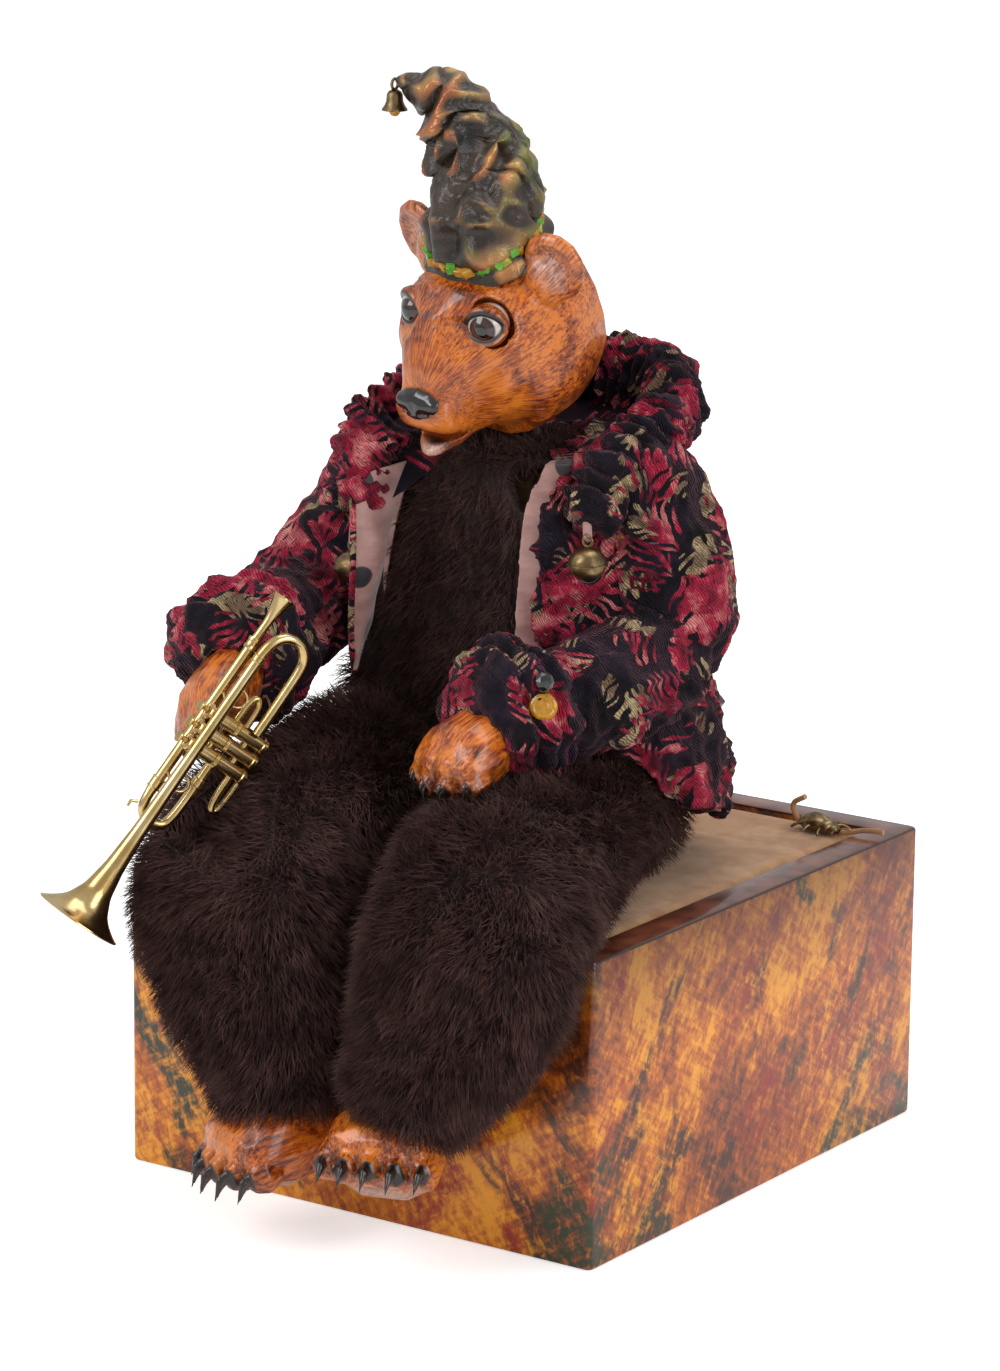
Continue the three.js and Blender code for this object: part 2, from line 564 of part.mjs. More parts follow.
function camshaft() {
  const axis = (y) => point(0, y, SHAFT_HEIGHT);
  const armFace = BOX_DEPTH / 2 + FLANGE_THICK + CRANK_RUNNING_GAP;
  const armEnd = armFace + CRANK_THICK;
  const shaftStart = BEARING_FRONT_Y - BEARING_THICK / 2 - SHAFT_END_PLAY;
  const shaft = bar(axis(shaftStart), axis(armEnd + SHAFT_END_PLAY), SHAFT_RADIUS);
  const shaftHole = (grow = GAP) => bar(axis(-BOX_DEPTH), axis(BOX_DEPTH), clearing(SHAFT_RADIUS + grow));

  const bush = join(bar(axis(INNER_Y), axis(BOX_DEPTH / 2 + FLANGE_THICK), BUSH_RADIUS),
    bar(axis(BOX_DEPTH / 2), axis(BOX_DEPTH / 2 + FLANGE_THICK), FLANGE_RADIUS));
  put('shaft_bush', cut(bush, shaftHole()), 'brass');

  for (const [name, y] of [['bearing_front', BEARING_FRONT_Y], ['bearing_rear', BEARING_REAR_Y]]) {
    const outline = new THREE.Shape([
      new THREE.Vector2(-BEARING_FOOT / 2, BOTTOM_THICK),
      new THREE.Vector2(BEARING_FOOT / 2, BOTTOM_THICK),
      new THREE.Vector2(BEARING_TOP / 2, SHAFT_HEIGHT + BEARING_ABOVE),
      new THREE.Vector2(-BEARING_TOP / 2, SHAFT_HEIGHT + BEARING_ABOVE),
    ]);
    const block = new THREE.ExtrudeGeometry(outline, { depth: BEARING_THICK, bevelEnabled: false });
    block.rotateX(Math.PI / 2).translate(0, y + BEARING_THICK / 2, 0);
    put(name, cut(block, shaftHole()), 'plainWood');
  }

  // Two half discs push the head's disc to and fro, and the third cam lifts the arm's rod
  const plate = (shape, y) => {
    const wheel = new THREE.ExtrudeGeometry(shape,
      { depth: CAM_THICK, bevelEnabled: false, curveSegments: 12 });
    return wheel.rotateX(Math.PI / 2).translate(0, y + CAM_THICK / 2, SHAFT_HEIGHT);
  };
  const halfDisc = (start) => {
    const shape = new THREE.Shape();
    shape.absarc(0, 0, CAM_RADIUS, start, start + Math.PI, false);
    shape.absarc(0, 0, CAM_HUB, start + Math.PI, start + 2 * Math.PI, false);
    return shape;
  };
  const lead = THREE.MathUtils.degToRad(CAM_LEAD);
  const headCams = [plate(halfDisc(Math.PI / 2 - lead), -HEAD_CAM_OFFSET),
    plate(halfDisc(lead - Math.PI / 2), HEAD_CAM_OFFSET)];
  const lobe = new THREE.Shape();
  for (let i = 0; i < CAM_STEPS; i += 1) {
    const angle = (2 * Math.PI * i) / CAM_STEPS;
    const radius = CAM_RADIUS - CAM_RISE * (1 - Math.cos(angle - Math.PI / 2)) / 2;
    lobe[i ? 'lineTo' : 'moveTo'](radius * Math.cos(angle), radius * Math.sin(angle));
  }
  put('camshaft', join(shaft, ...headCams, plate(lobe, ARM_ROD_Y)), 'plainWood');

  const tilt = THREE.MathUtils.degToRad(CRANK_TILT);
  const crank = new THREE.Group();
  crank.position.set(0, 0, SHAFT_HEIGHT);
  crank.rotation.y = -tilt;
  part.add(crank);
  const web = new THREE.Shape();
  web.absarc(0, 0, CRANK_WIDE / 2, Math.PI, 2 * Math.PI, false);
  web.absarc(0, CRANK_THROW, CRANK_WIDE / 2, 0, Math.PI, false);
  const eyes = [[0, SHAFT_RADIUS], [CRANK_THROW, PIN_RADIUS]];
  for (const [height, radius] of eyes) {
    const eye = new THREE.Path();
    eye.absarc(0, height, clearing(radius + GAP), 0, 2 * Math.PI, true);
    web.holes.push(eye);
  }
  const arm = new THREE.ExtrudeGeometry(web, { depth: CRANK_THICK, bevelEnabled: false,
    curveSegments: 10 });
  put('crank_arm', arm.rotateX(Math.PI / 2).translate(0, armEnd, 0), 'steel', crank);
  const knobStart = armEnd + CRANK_RUNNING_GAP;
  const knobEnd = knobStart + KNOB_LONG;
  const pin = join(bar(point(0, armFace, CRANK_THROW), point(0, knobEnd + CRANK_RUNNING_GAP, CRANK_THROW),
    PIN_RADIUS),
    bar(point(0, knobEnd + GAP, CRANK_THROW), point(0, knobEnd + GAP + PIN_HEAD_THICK, CRANK_THROW),
      PIN_HEAD_RADIUS));
  put('knob_pin', pin, 'steel', crank);
  const grip = new THREE.Shape();
  const gripSteps = KNOB_LOBES * 4;
  for (let i = 0; i < gripSteps; i += 1) {
    const angle = (2 * Math.PI * i) / gripSteps;
    const radius = KNOB_RADIUS - KNOB_ROUND + KNOB_LOBE * Math.cos(KNOB_LOBES * angle);
    grip[i ? 'lineTo' : 'moveTo'](radius * Math.cos(angle), radius * Math.sin(angle));
  }
  const knob = new THREE.ExtrudeGeometry(grip, {
    depth: KNOB_LONG - 2 * KNOB_ROUND,
    bevelThickness: KNOB_ROUND,
    bevelSize: KNOB_ROUND,
    bevelSegments: 2,
  });
  knob.rotateX(Math.PI / 2).translate(0, knobEnd - KNOB_ROUND, CRANK_THROW);
  const knobBore = bar(point(0, knobStart - OVERRUN, CRANK_THROW), point(0, knobEnd + OVERRUN, CRANK_THROW),
    clearing(PIN_RADIUS + GAP));
  put('crank_knob', cut(knob, knobBore), 'darkWood', crank);
}

// Wooden frame, rods and shoulder axle

function torsoFrame() {
  const column = cut(slab(-FRAME_HALF, FRAME_HALF, FRAME_FRONT, FRAME_BACK, BOARD_TOP, FRAME_TOP),
    slab(FRAME_WALL - FRAME_HALF, FRAME_HALF - FRAME_WALL, FRAME_FRONT + FRAME_WALL,
      FRAME_BACK - FRAME_WALL,
      0, FRAME_TOP + OVERRUN),
    bar(point(-BOX_WIDTH, AXLE_Y, AXLE_Z), point(BOX_WIDTH, AXLE_Y, AXLE_Z), clearing(AXLE_RADIUS + GAP)),
    slab(-BOX_WIDTH, BOX_WIDTH, AXLE_Y - AXLE_RADIUS - GAP, AXLE_Y + AXLE_RADIUS + GAP, AXLE_Z,
      FRAME_TOP + OVERRUN));
  put('torso_frame', column, 'plainWood');
  const neckHole = bar(point(0, 0, 0), point(0, 0, HEAD_Z), clearing(NECK_ROD_RADIUS + GAP));
  const plate = slab(-FRAME_HALF, FRAME_HALF, FRAME_FRONT, FRAME_BACK, FRAME_TOP,
    FRAME_TOP + NECK_PLATE_THICK);
  put('neck_plate', cut(plate, neckHole), 'plainWood');
  const armHole = bar(point(0, ARM_ROD_Y, 0), point(0, ARM_ROD_Y, FRAME_TOP),
    clearing(ARM_ROD_RADIUS + GAP));
  const guide = slab(FRAME_WALL - FRAME_HALF, FRAME_HALF - FRAME_WALL, FRAME_FRONT + FRAME_WALL,
    FRAME_BACK - FRAME_WALL, GUIDE_HEIGHT, GUIDE_HEIGHT + GUIDE_THICK);
  put('rod_guide', cut(guide, neckHole, armHole), 'plainWood');

  const plateTop = FRAME_TOP + NECK_PLATE_THICK;
  const rod = turned([
    [0, DISC_UNDER],
    [NECK_ROD_RADIUS, DISC_UNDER],
    [NECK_ROD_RADIUS, plateTop + GAP],
    [NECK_COLLAR_RADIUS, plateTop + GAP],
    [NECK_COLLAR_RADIUS, plateTop + GAP + NECK_COLLAR_TALL],
    [NECK_ROD_RADIUS, plateTop + GAP + NECK_COLLAR_TALL],
    [NECK_ROD_RADIUS, NECK_ROD_TOP],
    [0, NECK_ROD_TOP],
  ]).rotateX(Math.PI / 2);
  put('neck_rod', rod, 'steel');
  const disc = bar(point(0, 0, DISC_UNDER), point(0, 0, DISC_UNDER + DISC_THICK), DISC_RADIUS, 28);
  put('head_disc', cut(disc, neckHole), 'plainWood');

  const drop = THREE.MathUtils.degToRad(LEVER_DROP);
  const tip = point(0, AXLE_Y - LEVER_REACH * Math.cos(drop), AXLE_Z - LEVER_REACH * Math.sin(drop));
  const rodTop = tip.z - LEVER_TIP - GAP;
  const pushRod = turned([
    [0, DISC_UNDER],
    [FOOT_RADIUS, DISC_UNDER],
    [FOOT_RADIUS, DISC_UNDER + FOOT_THICK],
    [ARM_ROD_RADIUS, DISC_UNDER + FOOT_THICK],
    [ARM_ROD_RADIUS, rodTop - FOOT_THICK],
    [ARM_ROD_HEAD_RADIUS, rodTop - FOOT_THICK],
    [ARM_ROD_HEAD_RADIUS, rodTop],
    [0, rodTop],
  ]).rotateX(Math.PI / 2).translate(0, ARM_ROD_Y, 0);
  put('arm_push_rod', pushRod, 'steel');

  const axleHole = bar(point(-BOX_WIDTH, AXLE_Y, AXLE_Z), point(BOX_WIDTH, AXLE_Y, AXLE_Z),
    clearing(AXLE_RADIUS + GAP));
  const across = (x) => point(x, AXLE_Y, AXLE_Z);
  const half = LEVER_THICK / 2;
  const lever = join(
    bar(across(-half), across(half), LEVER_EYE),
    bar(point(-half, tip.y, tip.z), point(half, tip.y, tip.z), LEVER_TIP),
    bar(across(0), tip, LEVER_TIP * 0.9, 8),
  );
  put('shoulder_lever', cut(lever, axleHole), 'steel');
  put('shoulder_axle', bar(across(-FIGURE_WIDE * SHOULDER_SHARE - SLEEVE_RADIUS / 2),
    across(FRAME_HALF + SHAFT_END_PLAY), AXLE_RADIUS),
    'steel');
}

// Stuffed torso and legs

// A place on the figure, in shares of its width and depth and of its height above the seat
function figure([x, y, z]) {
  return point(x * FIGURE_WIDE, y * FIGURE_DEEP, SEAT_LEVEL + z * FIGURE_TALL);
}

const TORSO_PLACE_SHARES = [[0.04, 0, 0.08], [0.035, -0.01, 0.22], [0, -0.035, 0.41], [-0.025, -0.04, 0.61],
  [-0.02, -0.04, 0.73], [-0.01, -0.04, 0.8]];
const TORSO_WIDE_SHARES = [0.98, 1.04, 0.98, 0.9, 0.83, 0.66];
const TORSO_DEEP_SHARES = [0.94, 1, 0.92, 0.84, 0.76, 0.7];
const TORSO = {
  route: TORSO_PLACE_SHARES.map(figure),
  wide: TORSO_WIDE_SHARES.map((share) => share * HIPS_HALF_WIDE),
  deep: TORSO_DEEP_SHARES.map((share) => share * HIPS_HALF_DEEP),
  domes: [TORSO_FOOT + OVERRUN, NECK_DOME],
  sides: 16,
  steps: 9,
};

// Each leg lies on the seat, bends over the box's front edge and hangs in front of it
const LEG_WIDE_SHARES = [0.74, 0.82, 0.94, 1, 1, 0.7, 0.59];
const LEG_DEEP = [THIGH_HALF_DEEP, THIGH_HALF_DEEP, THIGH_HALF_DEEP, SHIN_HALF_DEEP * 1.1,
  SHIN_HALF_DEEP * 1.05,
  SHIN_HALF_DEEP * 0.9, ANKLE_HALF_DEEP];
const LEFT_LEG_X_SHARES = [0.25, 0.33, 0.43, 0.47, 0.46, 0.35, 0.29];
const RIGHT_LEG_X_SHARES = [-0.13, -0.17, -0.2, -0.21, -0.18, -0.09, -0.07];
const LEG_Y_SHARES = [0.07, 0.4, 0.7];
const SHIN_Z_SHARES = [0.89, 0.7, 0.35, 0.2];
const BOX_FRONT = -BOX_DEPTH / 2;

function leg(xShares, lift) {
  const thighLevel = SEAT_LEVEL + THIGH_HALF_DEEP;
  const shinY = BOX_FRONT - LEG_CLEARANCE - SHIN_HALF_DEEP;
  return {
    route: xShares.map((share, i) => {
      const x = share * FIGURE_WIDE;
      if (i < LEG_Y_SHARES.length) return point(x, -LEG_Y_SHARES[i] * FIGURE_DEEP, thighLevel);
      const level = SHIN_Z_SHARES[i - LEG_Y_SHARES.length];
      const forward = i === LEG_Y_SHARES.length ? SHIN_HALF_DEEP * 0.15 : -SHIN_HALF_DEEP * 0.1;
      return point(x, shinY + forward, thighLevel * level + lift * (1 - level));
    }),
    wide: LEG_WIDE_SHARES.map((share) => share * KNEE_HALF_WIDE),
    deep: LEG_DEEP,
    domes: [THIGH_HALF_DEEP * 0.7, ANKLE_DOME],
    sides: 16,
    steps: 12,
  };
}

const LEFT_LEG = leg(LEFT_LEG_X_SHARES, LEFT_ANKLE_LIFT);
const RIGHT_LEG = leg(RIGHT_LEG_X_SHARES, RIGHT_ANKLE_LIFT);

// Arms
const LEFT_SLEEVE_SHARES = [[0.33, -0.04, 0.77], [0.39, -0.01, 0.64], [0.415, -0.04, 0.48],
  [0.395, -0.3, 0.415],
  [0.34, -0.48, 0.4]];
const RIGHT_SLEEVE_SHARES = [[-0.36, -0.08, 0.74], [-0.425, -0.15, 0.615], [-0.47, -0.27, 0.51],
  [-0.455, -0.45, 0.475],
  [-0.42, -0.58, 0.462]];
const SLEEVE_WIDE_SHARES = [0.97, 1, 1, 0.92, 0.85];
const LEFT_CUFF_SHARES = [[0.345, -0.465, 0.4], [0.31, -0.545, 0.395], [0.28, -0.62, 0.385]];
const RIGHT_CUFF_SHARES = [[-0.42, -0.57, 0.465], [-0.405, -0.65, 0.456], [-0.39, -0.72, 0.44]];

function sleeve(shares) {
  const radii = SLEEVE_WIDE_SHARES.map((share) => share * SLEEVE_RADIUS);
  return { route: shares.map(figure), wide: radii, deep: radii, domes: [SLEEVE_RADIUS, WRIST_RADIUS / 2],
    sides: 14, steps: 9 };
}

const LEFT_SLEEVE = sleeve(LEFT_SLEEVE_SHARES);
const RIGHT_SLEEVE = sleeve(RIGHT_SLEEVE_SHARES);

function gathers(count, depth) {
  return (t, angle) => depth * Math.cos(count * angle + Math.sin(5 * Math.PI * t));
}

function cuff(shares) {
  return {
    route: shares.map(figure),
    wide: [0.86, 1, 0.86].map((share) => share * CUFF_RADIUS),
    deep: [0.86, 1, 0.86].map((share) => share * CUFF_RADIUS),
    domes: [CUFF_RADIUS / 4, CUFF_RADIUS / 4],
    sides: 18,
    steps: 4,
    fold: gathers(6, RUCHE_SHARE),
  };
}

// A paw or foot pointing to -Y: the pad, a row of toes and a claw on each, in one piece
function pad({ long, halfWide, halfTall }, grow = 0) {
  return stuffed({
    route: [0, 0.5, 0.8].map((share) => point(0, -share * long, 0)),
    wide: [0.72, 0.95, 0.9].map((share) => share * halfWide),
    deep: [0.9, 1, 0.62].map((share) => share * halfTall),
    domes: [halfTall * 0.7, halfTall / 2],
    sides: 10,
    steps: 4,
    square: 2.4,
  }, grow);
}

function clawed(form) {
  const { long, halfWide, halfTall, toes, toeRadius } = form;
  const pieces = [];
  for (let i = 0; i < toes; i += 1) {
    const share = (2 * i) / (toes - 1) - 1;
    const x = share * (halfWide - toeRadius * 0.9);
    const y = -long * (0.93 - 0.14 * share * share);
    const z = -halfTall * 0.3;
    pieces.push(ball(point(x, y, z), toeRadius, toeRadius * 1.3, toeRadius, 6));
    const root = point(x, y - toeRadius * 0.7, z + toeRadius * 0.3);
    const bend = point(x, root.y - CLAW_LONG * 0.55, z);
    const end = point(x, root.y - CLAW_LONG * 0.85, z - CLAW_LONG / 2);
    pieces.push(bar(root, bend, CLAW_RADIUS, 4, CLAW_RADIUS * 0.8));
    pieces.push(bar(bend.clone().lerp(root, 0.08), end, CLAW_RADIUS * 0.8, 4, CLAW_RADIUS / 5));
  }
  return join(pad(form), ...pieces);
}

function placed(geometry, at, { turn, droop, roll }) {
  geometry.rotateY(THREE.MathUtils.degToRad(roll));
  geometry.rotateX(THREE.MathUtils.degToRad(droop));
  geometry.rotateZ(THREE.MathUtils.degToRad(turn));
  return geometry.translate(at.x, at.y, at.z);
}

// Head
const HEAD_PLACE = new THREE.Matrix4().makeTranslation(HEAD_X, HEAD_Y, HEAD_Z)
  .multiply(new THREE.Matrix4().makeRotationZ(THREE.MathUtils.degToRad(-HEAD_YAW)))
  .multiply(new THREE.Matrix4().makeRotationX(THREE.MathUtils.degToRad(HEAD_PITCH)))
  .multiply(new THREE.Matrix4().makeRotationY(THREE.MathUtils.degToRad(HEAD_ROLL)));
const HEAD_FORWARD_SHARES = [-0.3, 0, 0.31, 0.59, 0.8, 1];
const HEAD_UP_SHARES = [0.07, 0.04, 0.02, 0, -0.12, -0.32];
const HEAD_WIDE_SHARES = [0.84, 0.97, 0.97, 0.86, 0.66, 0.46];
const HEAD_TALL_SHARES = [0.93, 1, 1, 0.94, 0.77, 0.46];
const HEAD = {
  route: HEAD_FORWARD_SHARES.map((share, i) => point(0, -share * SNOUT_LONG,
    HEAD_UP_SHARES[i] * SKULL_HALF_TALL)),
  wide: HEAD_WIDE_SHARES.map((share) => share * SKULL_HALF_WIDE),
  deep: HEAD_TALL_SHARES.map((share) => share * SKULL_HALF_TALL),
  domes: [SKULL_BACK_DOME, SNOUT_DOME],
  sides: 18,
  steps: 10,
  square: 2.3,
};

function headForm(grow = 0) {
  return stuffed(HEAD, grow).applyMatrix4(HEAD_PLACE);
}

function head() {
  const eyeRoom = clearing(EYE_RADIUS + GAP, 8);
  const places = [-1, 1].map((side) => point(side * EYE_APART, -EYE_FORWARD, EYE_UP));
  const eyes = places.map((at) => ball(at, EYE_RADIUS, EYE_RADIUS, EYE_RADIUS,
    12).applyMatrix4(HEAD_PLACE));
  const sockets = places.map((at) => ball(at, eyeRoom, eyeRoom, eyeRoom, 10).applyMatrix4(HEAD_PLACE));
  const lips = -SNOUT_LONG - SNOUT_DOME;
  const mouth = slab(-MOUTH_HALF_WIDE, MOUTH_HALF_WIDE, lips - OVERRUN, lips + MOUTH_DEEP,
    MOUTH_UP - MOUTH_TALL / 2, MOUTH_UP + MOUTH_TALL / 2);
  const rodRoom = bar(point(0, 0, BOX_HEIGHT), point(0, 0, NECK_ROD_TOP + SHAFT_END_PLAY),
    clearing(NECK_ROD_RADIUS + GAP));
  const ears = [-1, 1].map((side) => {
    const cup = cut(ball(point(0, 0, 0), EAR_RADIUS, EAR_HALF_THICK, EAR_RADIUS, 12),
      ball(point(0, -EAR_HALF_THICK, 0), EAR_RADIUS * EAR_CUP_SHARE, EAR_HALF_THICK,
        EAR_RADIUS * EAR_CUP_SHARE, 10));
    cup.rotateZ(THREE.MathUtils.degToRad(side * EAR_TURN));
    cup.rotateY(THREE.MathUtils.degToRad(side * EAR_LEAN));
    const root = point(side * EAR_APART * EAR_ROOT_SHARE, -EAR_FORWARD, EAR_UP * EAR_ROOT_SHARE);
    const radius = EAR_RADIUS * EAR_ROOT_SHARE;
    cup.translate(side * EAR_APART, -EAR_FORWARD, EAR_UP);
    return join(cup, ball(root, radius, EAR_HALF_THICK * 1.5, radius, 8)).applyMatrix4(HEAD_PLACE);
  });
  const shell = cut(join(headForm(), ...ears), ...sockets, mouth.applyMatrix4(HEAD_PLACE), rodRoom);
  put('head_shell', largest(shell), 'carvedWood');
  put('right_eye', eyes[0], 'eyeGlass');
  put('left_eye', eyes[1], 'eyeGlass');
  const nose = ball(point(0, -NOSE_FORWARD, NOSE_UP), NOSE_HALF_WIDE, NOSE_HALF_DEEP, NOSE_HALF_TALL, 12);
  put('nose', largest(cut(nose.applyMatrix4(HEAD_PLACE), headForm(GAP))), 'blackGloss');
}

// Hat
const HAT_PLACE_SHARES = [[0.01, -0.19, 1.12], [0.005, -0.205, 1.2], [0, -0.2, 1.26], [-0.02, -0.19, 1.34],
  [-0.085, -0.18, 1.43], [-0.16, -0.18, 1.5], [-0.28, -0.2, 1.535]];
const HAT_GIRTH_SHARES = [1.15, 1.02, 0.9, 0.98, 0.76, 0.44, 0.12];
const HAT = {
  route: HAT_PLACE_SHARES.map(figure),
  wide: HAT_GIRTH_SHARES.map((share) => share * HAT_HALF_WIDE),
  deep: HAT_GIRTH_SHARES.map((share) => share * HAT_HALF_DEEP),
  domes: [OVERRUN / 2, HAT_TIP_RADIUS],
  across: Y_AXIS,
  sides: 12,
  steps: 12,
  fold: (t, angle) => {
    const waves = Math.sin(3 * angle + 11 * t) + 0.7 * Math.sin(2 * angle - 17 * t);
    return HAT_CRUMPLE_SHARE * waves * Math.sin(Math.PI * t);
  },
};

function hat() {
  const base = figure(HAT_PLACE_SHARES[0]);
  const reach = HAT_HALF_WIDE + BRIM_REACH;
  const under = point(base.x, base.y, base.z - HAT_HALF_WIDE);
  const over = point(base.x, base.y, base.z + HAT_HALF_WIDE);
  const brim = meet(headForm(GAP + BRIM_THICK), bar(under, over, reach, 24));
  const earRoom = clearing(EAR_RADIUS + GAP, 8);
  const eyeRoom = clearing(EYE_RADIUS + 2 * GAP, 8);
  const rooms = [-1, 1].flatMap((side) => [
    ball(point(side * EAR_APART, -EAR_FORWARD, EAR_UP), earRoom, earRoom, earRoom,
      8).applyMatrix4(HEAD_PLACE),
    ball(point(side * EAR_APART * EAR_ROOT_SHARE, -EAR_FORWARD, EAR_UP * EAR_ROOT_SHARE),
      earRoom * EAR_ROOT_SHARE,
      earRoom * EAR_ROOT_SHARE, earRoom * EAR_ROOT_SHARE, 8).applyMatrix4(HEAD_PLACE),
    ball(point(side * EYE_APART, -EYE_FORWARD, EYE_UP), eyeRoom, eyeRoom, eyeRoom,
      8).applyMatrix4(HEAD_PLACE),
  ]);
  const tip = figure(HAT_PLACE_SHARES.at(-1));
  const hang = point(tip.x - HAT_TIP_RADIUS / 2, tip.y, tip.z - LINK_RADIUS);
  const ring = (wire) => (
    new THREE.TorusGeometry(LINK_RADIUS, wire, 6, 12).rotateY(Math.PI / 2).translate(hang.x, hang.y,
      hang.z));
  put('hat', largest(cut(join(stuffed(HAT), brim), headForm(GAP), ring(WIRE_RADIUS + GAP), ...rooms)),
    'leather');

  const out = HAT_HALF_WIDE + BEAD_RADIUS / 2;
  const centres = Array.from({ length: BEADS }, (_, i) => {
    const angle = (2 * Math.PI * i) / BEADS;
    return point(out * Math.cos(angle), out * Math.sin(angle), 0);
  });
  const beads = centres.map((centre, i) => (
    bar(centre, centre.clone().lerp(centres[(i + 1) % BEADS], BEAD_LONG_SHARE), BEAD_RADIUS, 4)));
  const band = join(new THREE.TorusGeometry(out, BEAD_RADIUS / 2, 4, BEADS), ...beads);
  band.rotateX(THREE.MathUtils.degToRad(BAND_TILT)).translate(0, -BAND_FORWARD,
    BAND_UP).applyMatrix4(HEAD_PLACE);
  put('bead_band', largest(cut(band, headForm(2 * GAP + BRIM_THICK), stuffed(HAT, GAP))), 'greenGlass');

  const top = hang.z - LINK_RADIUS - WIRE_RADIUS;
  const outer = HAT_BELL_SHARES.map(([radius, drop]) => [radius * HAT_BELL_RADIUS, -drop * HAT_BELL_TALL]);
  const inner = outer.map(([radius, height]) => [Math.max(radius - BELL_WALL, 0),
    Math.min(height, -BELL_WALL)]);
  const cup = turned([[0, 0], ...outer, ...inner.reverse(), [0, -BELL_WALL]].reverse(),
    14).rotateX(Math.PI / 2);
  put('hat_bell', join(cup.translate(hang.x, hang.y, top + WIRE_RADIUS), ring(WIRE_RADIUS)), 'oldBrass');
  const bead = point(hang.x, hang.y, top - HAT_BELL_TALL);
  const stalk = bar(bead, point(hang.x, hang.y, top + WIRE_RADIUS - BELL_WALL - GAP), WIRE_RADIUS, 6);
  put('hat_bell_clapper', join(ball(bead, CLAPPER_RADIUS, CLAPPER_RADIUS, CLAPPER_RADIUS, 10), stalk),
    'amberGlass');
}

// Jacket
const JACKET_WIDE_SHARES = [1.02, 0.98, 0.87, 0.8, 0.74, 0.6];
const JACKET_DEEP_SHARES = [1, 0.95, 0.8, 0.73, 0.67, 0.62];
const JACKET = {
  ...TORSO,
  wide: JACKET_WIDE_SHARES.map((share) => share * SKIRT_HALF_WIDE),
  deep: JACKET_DEEP_SHARES.map((share) => share * SKIRT_HALF_DEEP),
  domes: [TORSO_FOOT, NECK_DOME],
  sides: 16,
  steps: 9,
};
const OPENING_SHARES = [[-0.375, 0], [-0.35, 0.37], [-0.31, 0.59], [-0.25, 0.81], [-0.25, 1.1], [0.22, 1.1],
  [0.215, 0.87], [0.19, 0.73], [0.2, 0.49], [0.24, 0.35], [0.33, 0]];

function jacket() {
  const opening = (narrower) => {
    const outline = new THREE.Shape(OPENING_SHARES.map(([x, z]) => (
      new THREE.Vector2(x * FIGURE_WIDE - Math.sign(x) * narrower, SEAT_LEVEL + z * FIGURE_TALL))));
    const prism = new THREE.ExtrudeGeometry(outline, { depth: FIGURE_DEEP, bevelEnabled: false });
    return prism.rotateX(Math.PI / 2).translate(0, -OVERRUN, 0);
  };
  const hem = slab(-FIGURE_WIDE, FIGURE_WIDE, -2 * FIGURE_DEEP, 2 * FIGURE_DEEP, -BOX_HEIGHT, 0);
  hem.rotateX(-Math.atan(HEM_SLOPE_SHARE)).translate(0, SKIRT_HALF_DEEP, SEAT_LEVEL + HEM_UP);
  const neck = slab(-FIGURE_WIDE, FIGURE_WIDE, -FIGURE_DEEP, FIGURE_DEEP, figure([0, 0, NECK_SHARE]).z,
    HEAD_Z);
  const legs = [LEFT_LEG, RIGHT_LEG].map((form) => stuffed(form, LEG_CLEARANCE));
  const body = [stuffed(TORSO, GAP), frameRoom()];
  const shell = (outer, inner, narrower) => largest(cut(stuffed(JACKET, outer), stuffed(JACKET, inner),
    opening(narrower),
    hem, neck, armRoom(), ...legs, ...body));
  put('jacket_body', shell(VELVET_THICK, 0, 0), 'velvet');
  put('jacket_lining', shell(-2 * GAP, -2 * GAP - LINING_THICK, OVERRUN / 2), 'satin');
}

const COLLAR_SHARES = [[-0.24, -0.42, 0.72], [-0.245, -0.35, 0.84], [-0.245, -0.13, 0.92],
  [-0.23, 0.15, 0.93],
  [0, 0.255, 0.935], [0.23, 0.22, 0.93], [0.34, 0.07, 0.895], [0.34, -0.1, 0.84], [0.32, -0.25, 0.75]];
const COLLAR_TALL_SHARES = [1, 1.1, 1.2, 1.3, 1.3, 1.3, 1.2, 1.1, 1];
const COLLAR = {
  route: COLLAR_SHARES.map(figure),
  wide: COLLAR_TALL_SHARES.map((share) => share * COLLAR_RADIUS),
  deep: COLLAR_SHARES.map(() => COLLAR_RADIUS),
  domes: [COLLAR_RADIUS / 2, COLLAR_RADIUS / 2],
  across: Z_AXIS,
  sides: 8,
  steps: 24,
  fold: (t, angle) => RUCHE_SHARE * Math.cos(22 * Math.PI * t + Math.cos(angle)),
};

// The side of the body that the swinging right sleeve passes, cut flat
function armRoom() {
  return slab(-FIGURE_WIDE, FUR_CLEARANCE - ARM_PLANE, -FIGURE_DEEP, AXLE_Y + SLEEVE_RADIUS + FUR_CLEARANCE,
    figure(RIGHT_CUFF_SHARES[0]).z - CUFF_RADIUS, HEAD_Z);
}

// The room the head sweeps as it turns, at steps
function turningHead() {
  const form = headForm().translate(-HEAD_X, -HEAD_Y, -HEAD_Z);
  form.scale(HEAD_ROOM_SHARE, HEAD_ROOM_SHARE, HEAD_ROOM_SHARE).translate(HEAD_X, HEAD_Y, HEAD_Z);
  return [-1, -0.5, 0, 0.5, 1].map((share) => (
    form.clone().rotateZ(THREE.MathUtils.degToRad(share * HEAD_TURN))));
}

// A form of the right arm at steps of its rise, for what must clear it
function risingArm(form) {
  return [0, 1 / 3, 2 / 3, 1].map((share) => (
    form.clone().translate(0, -AXLE_Y, -AXLE_Z)
      .rotateX(-THREE.MathUtils.degToRad(share * ARM_RISE))
      .translate(0, AXLE_Y, AXLE_Z)));
}

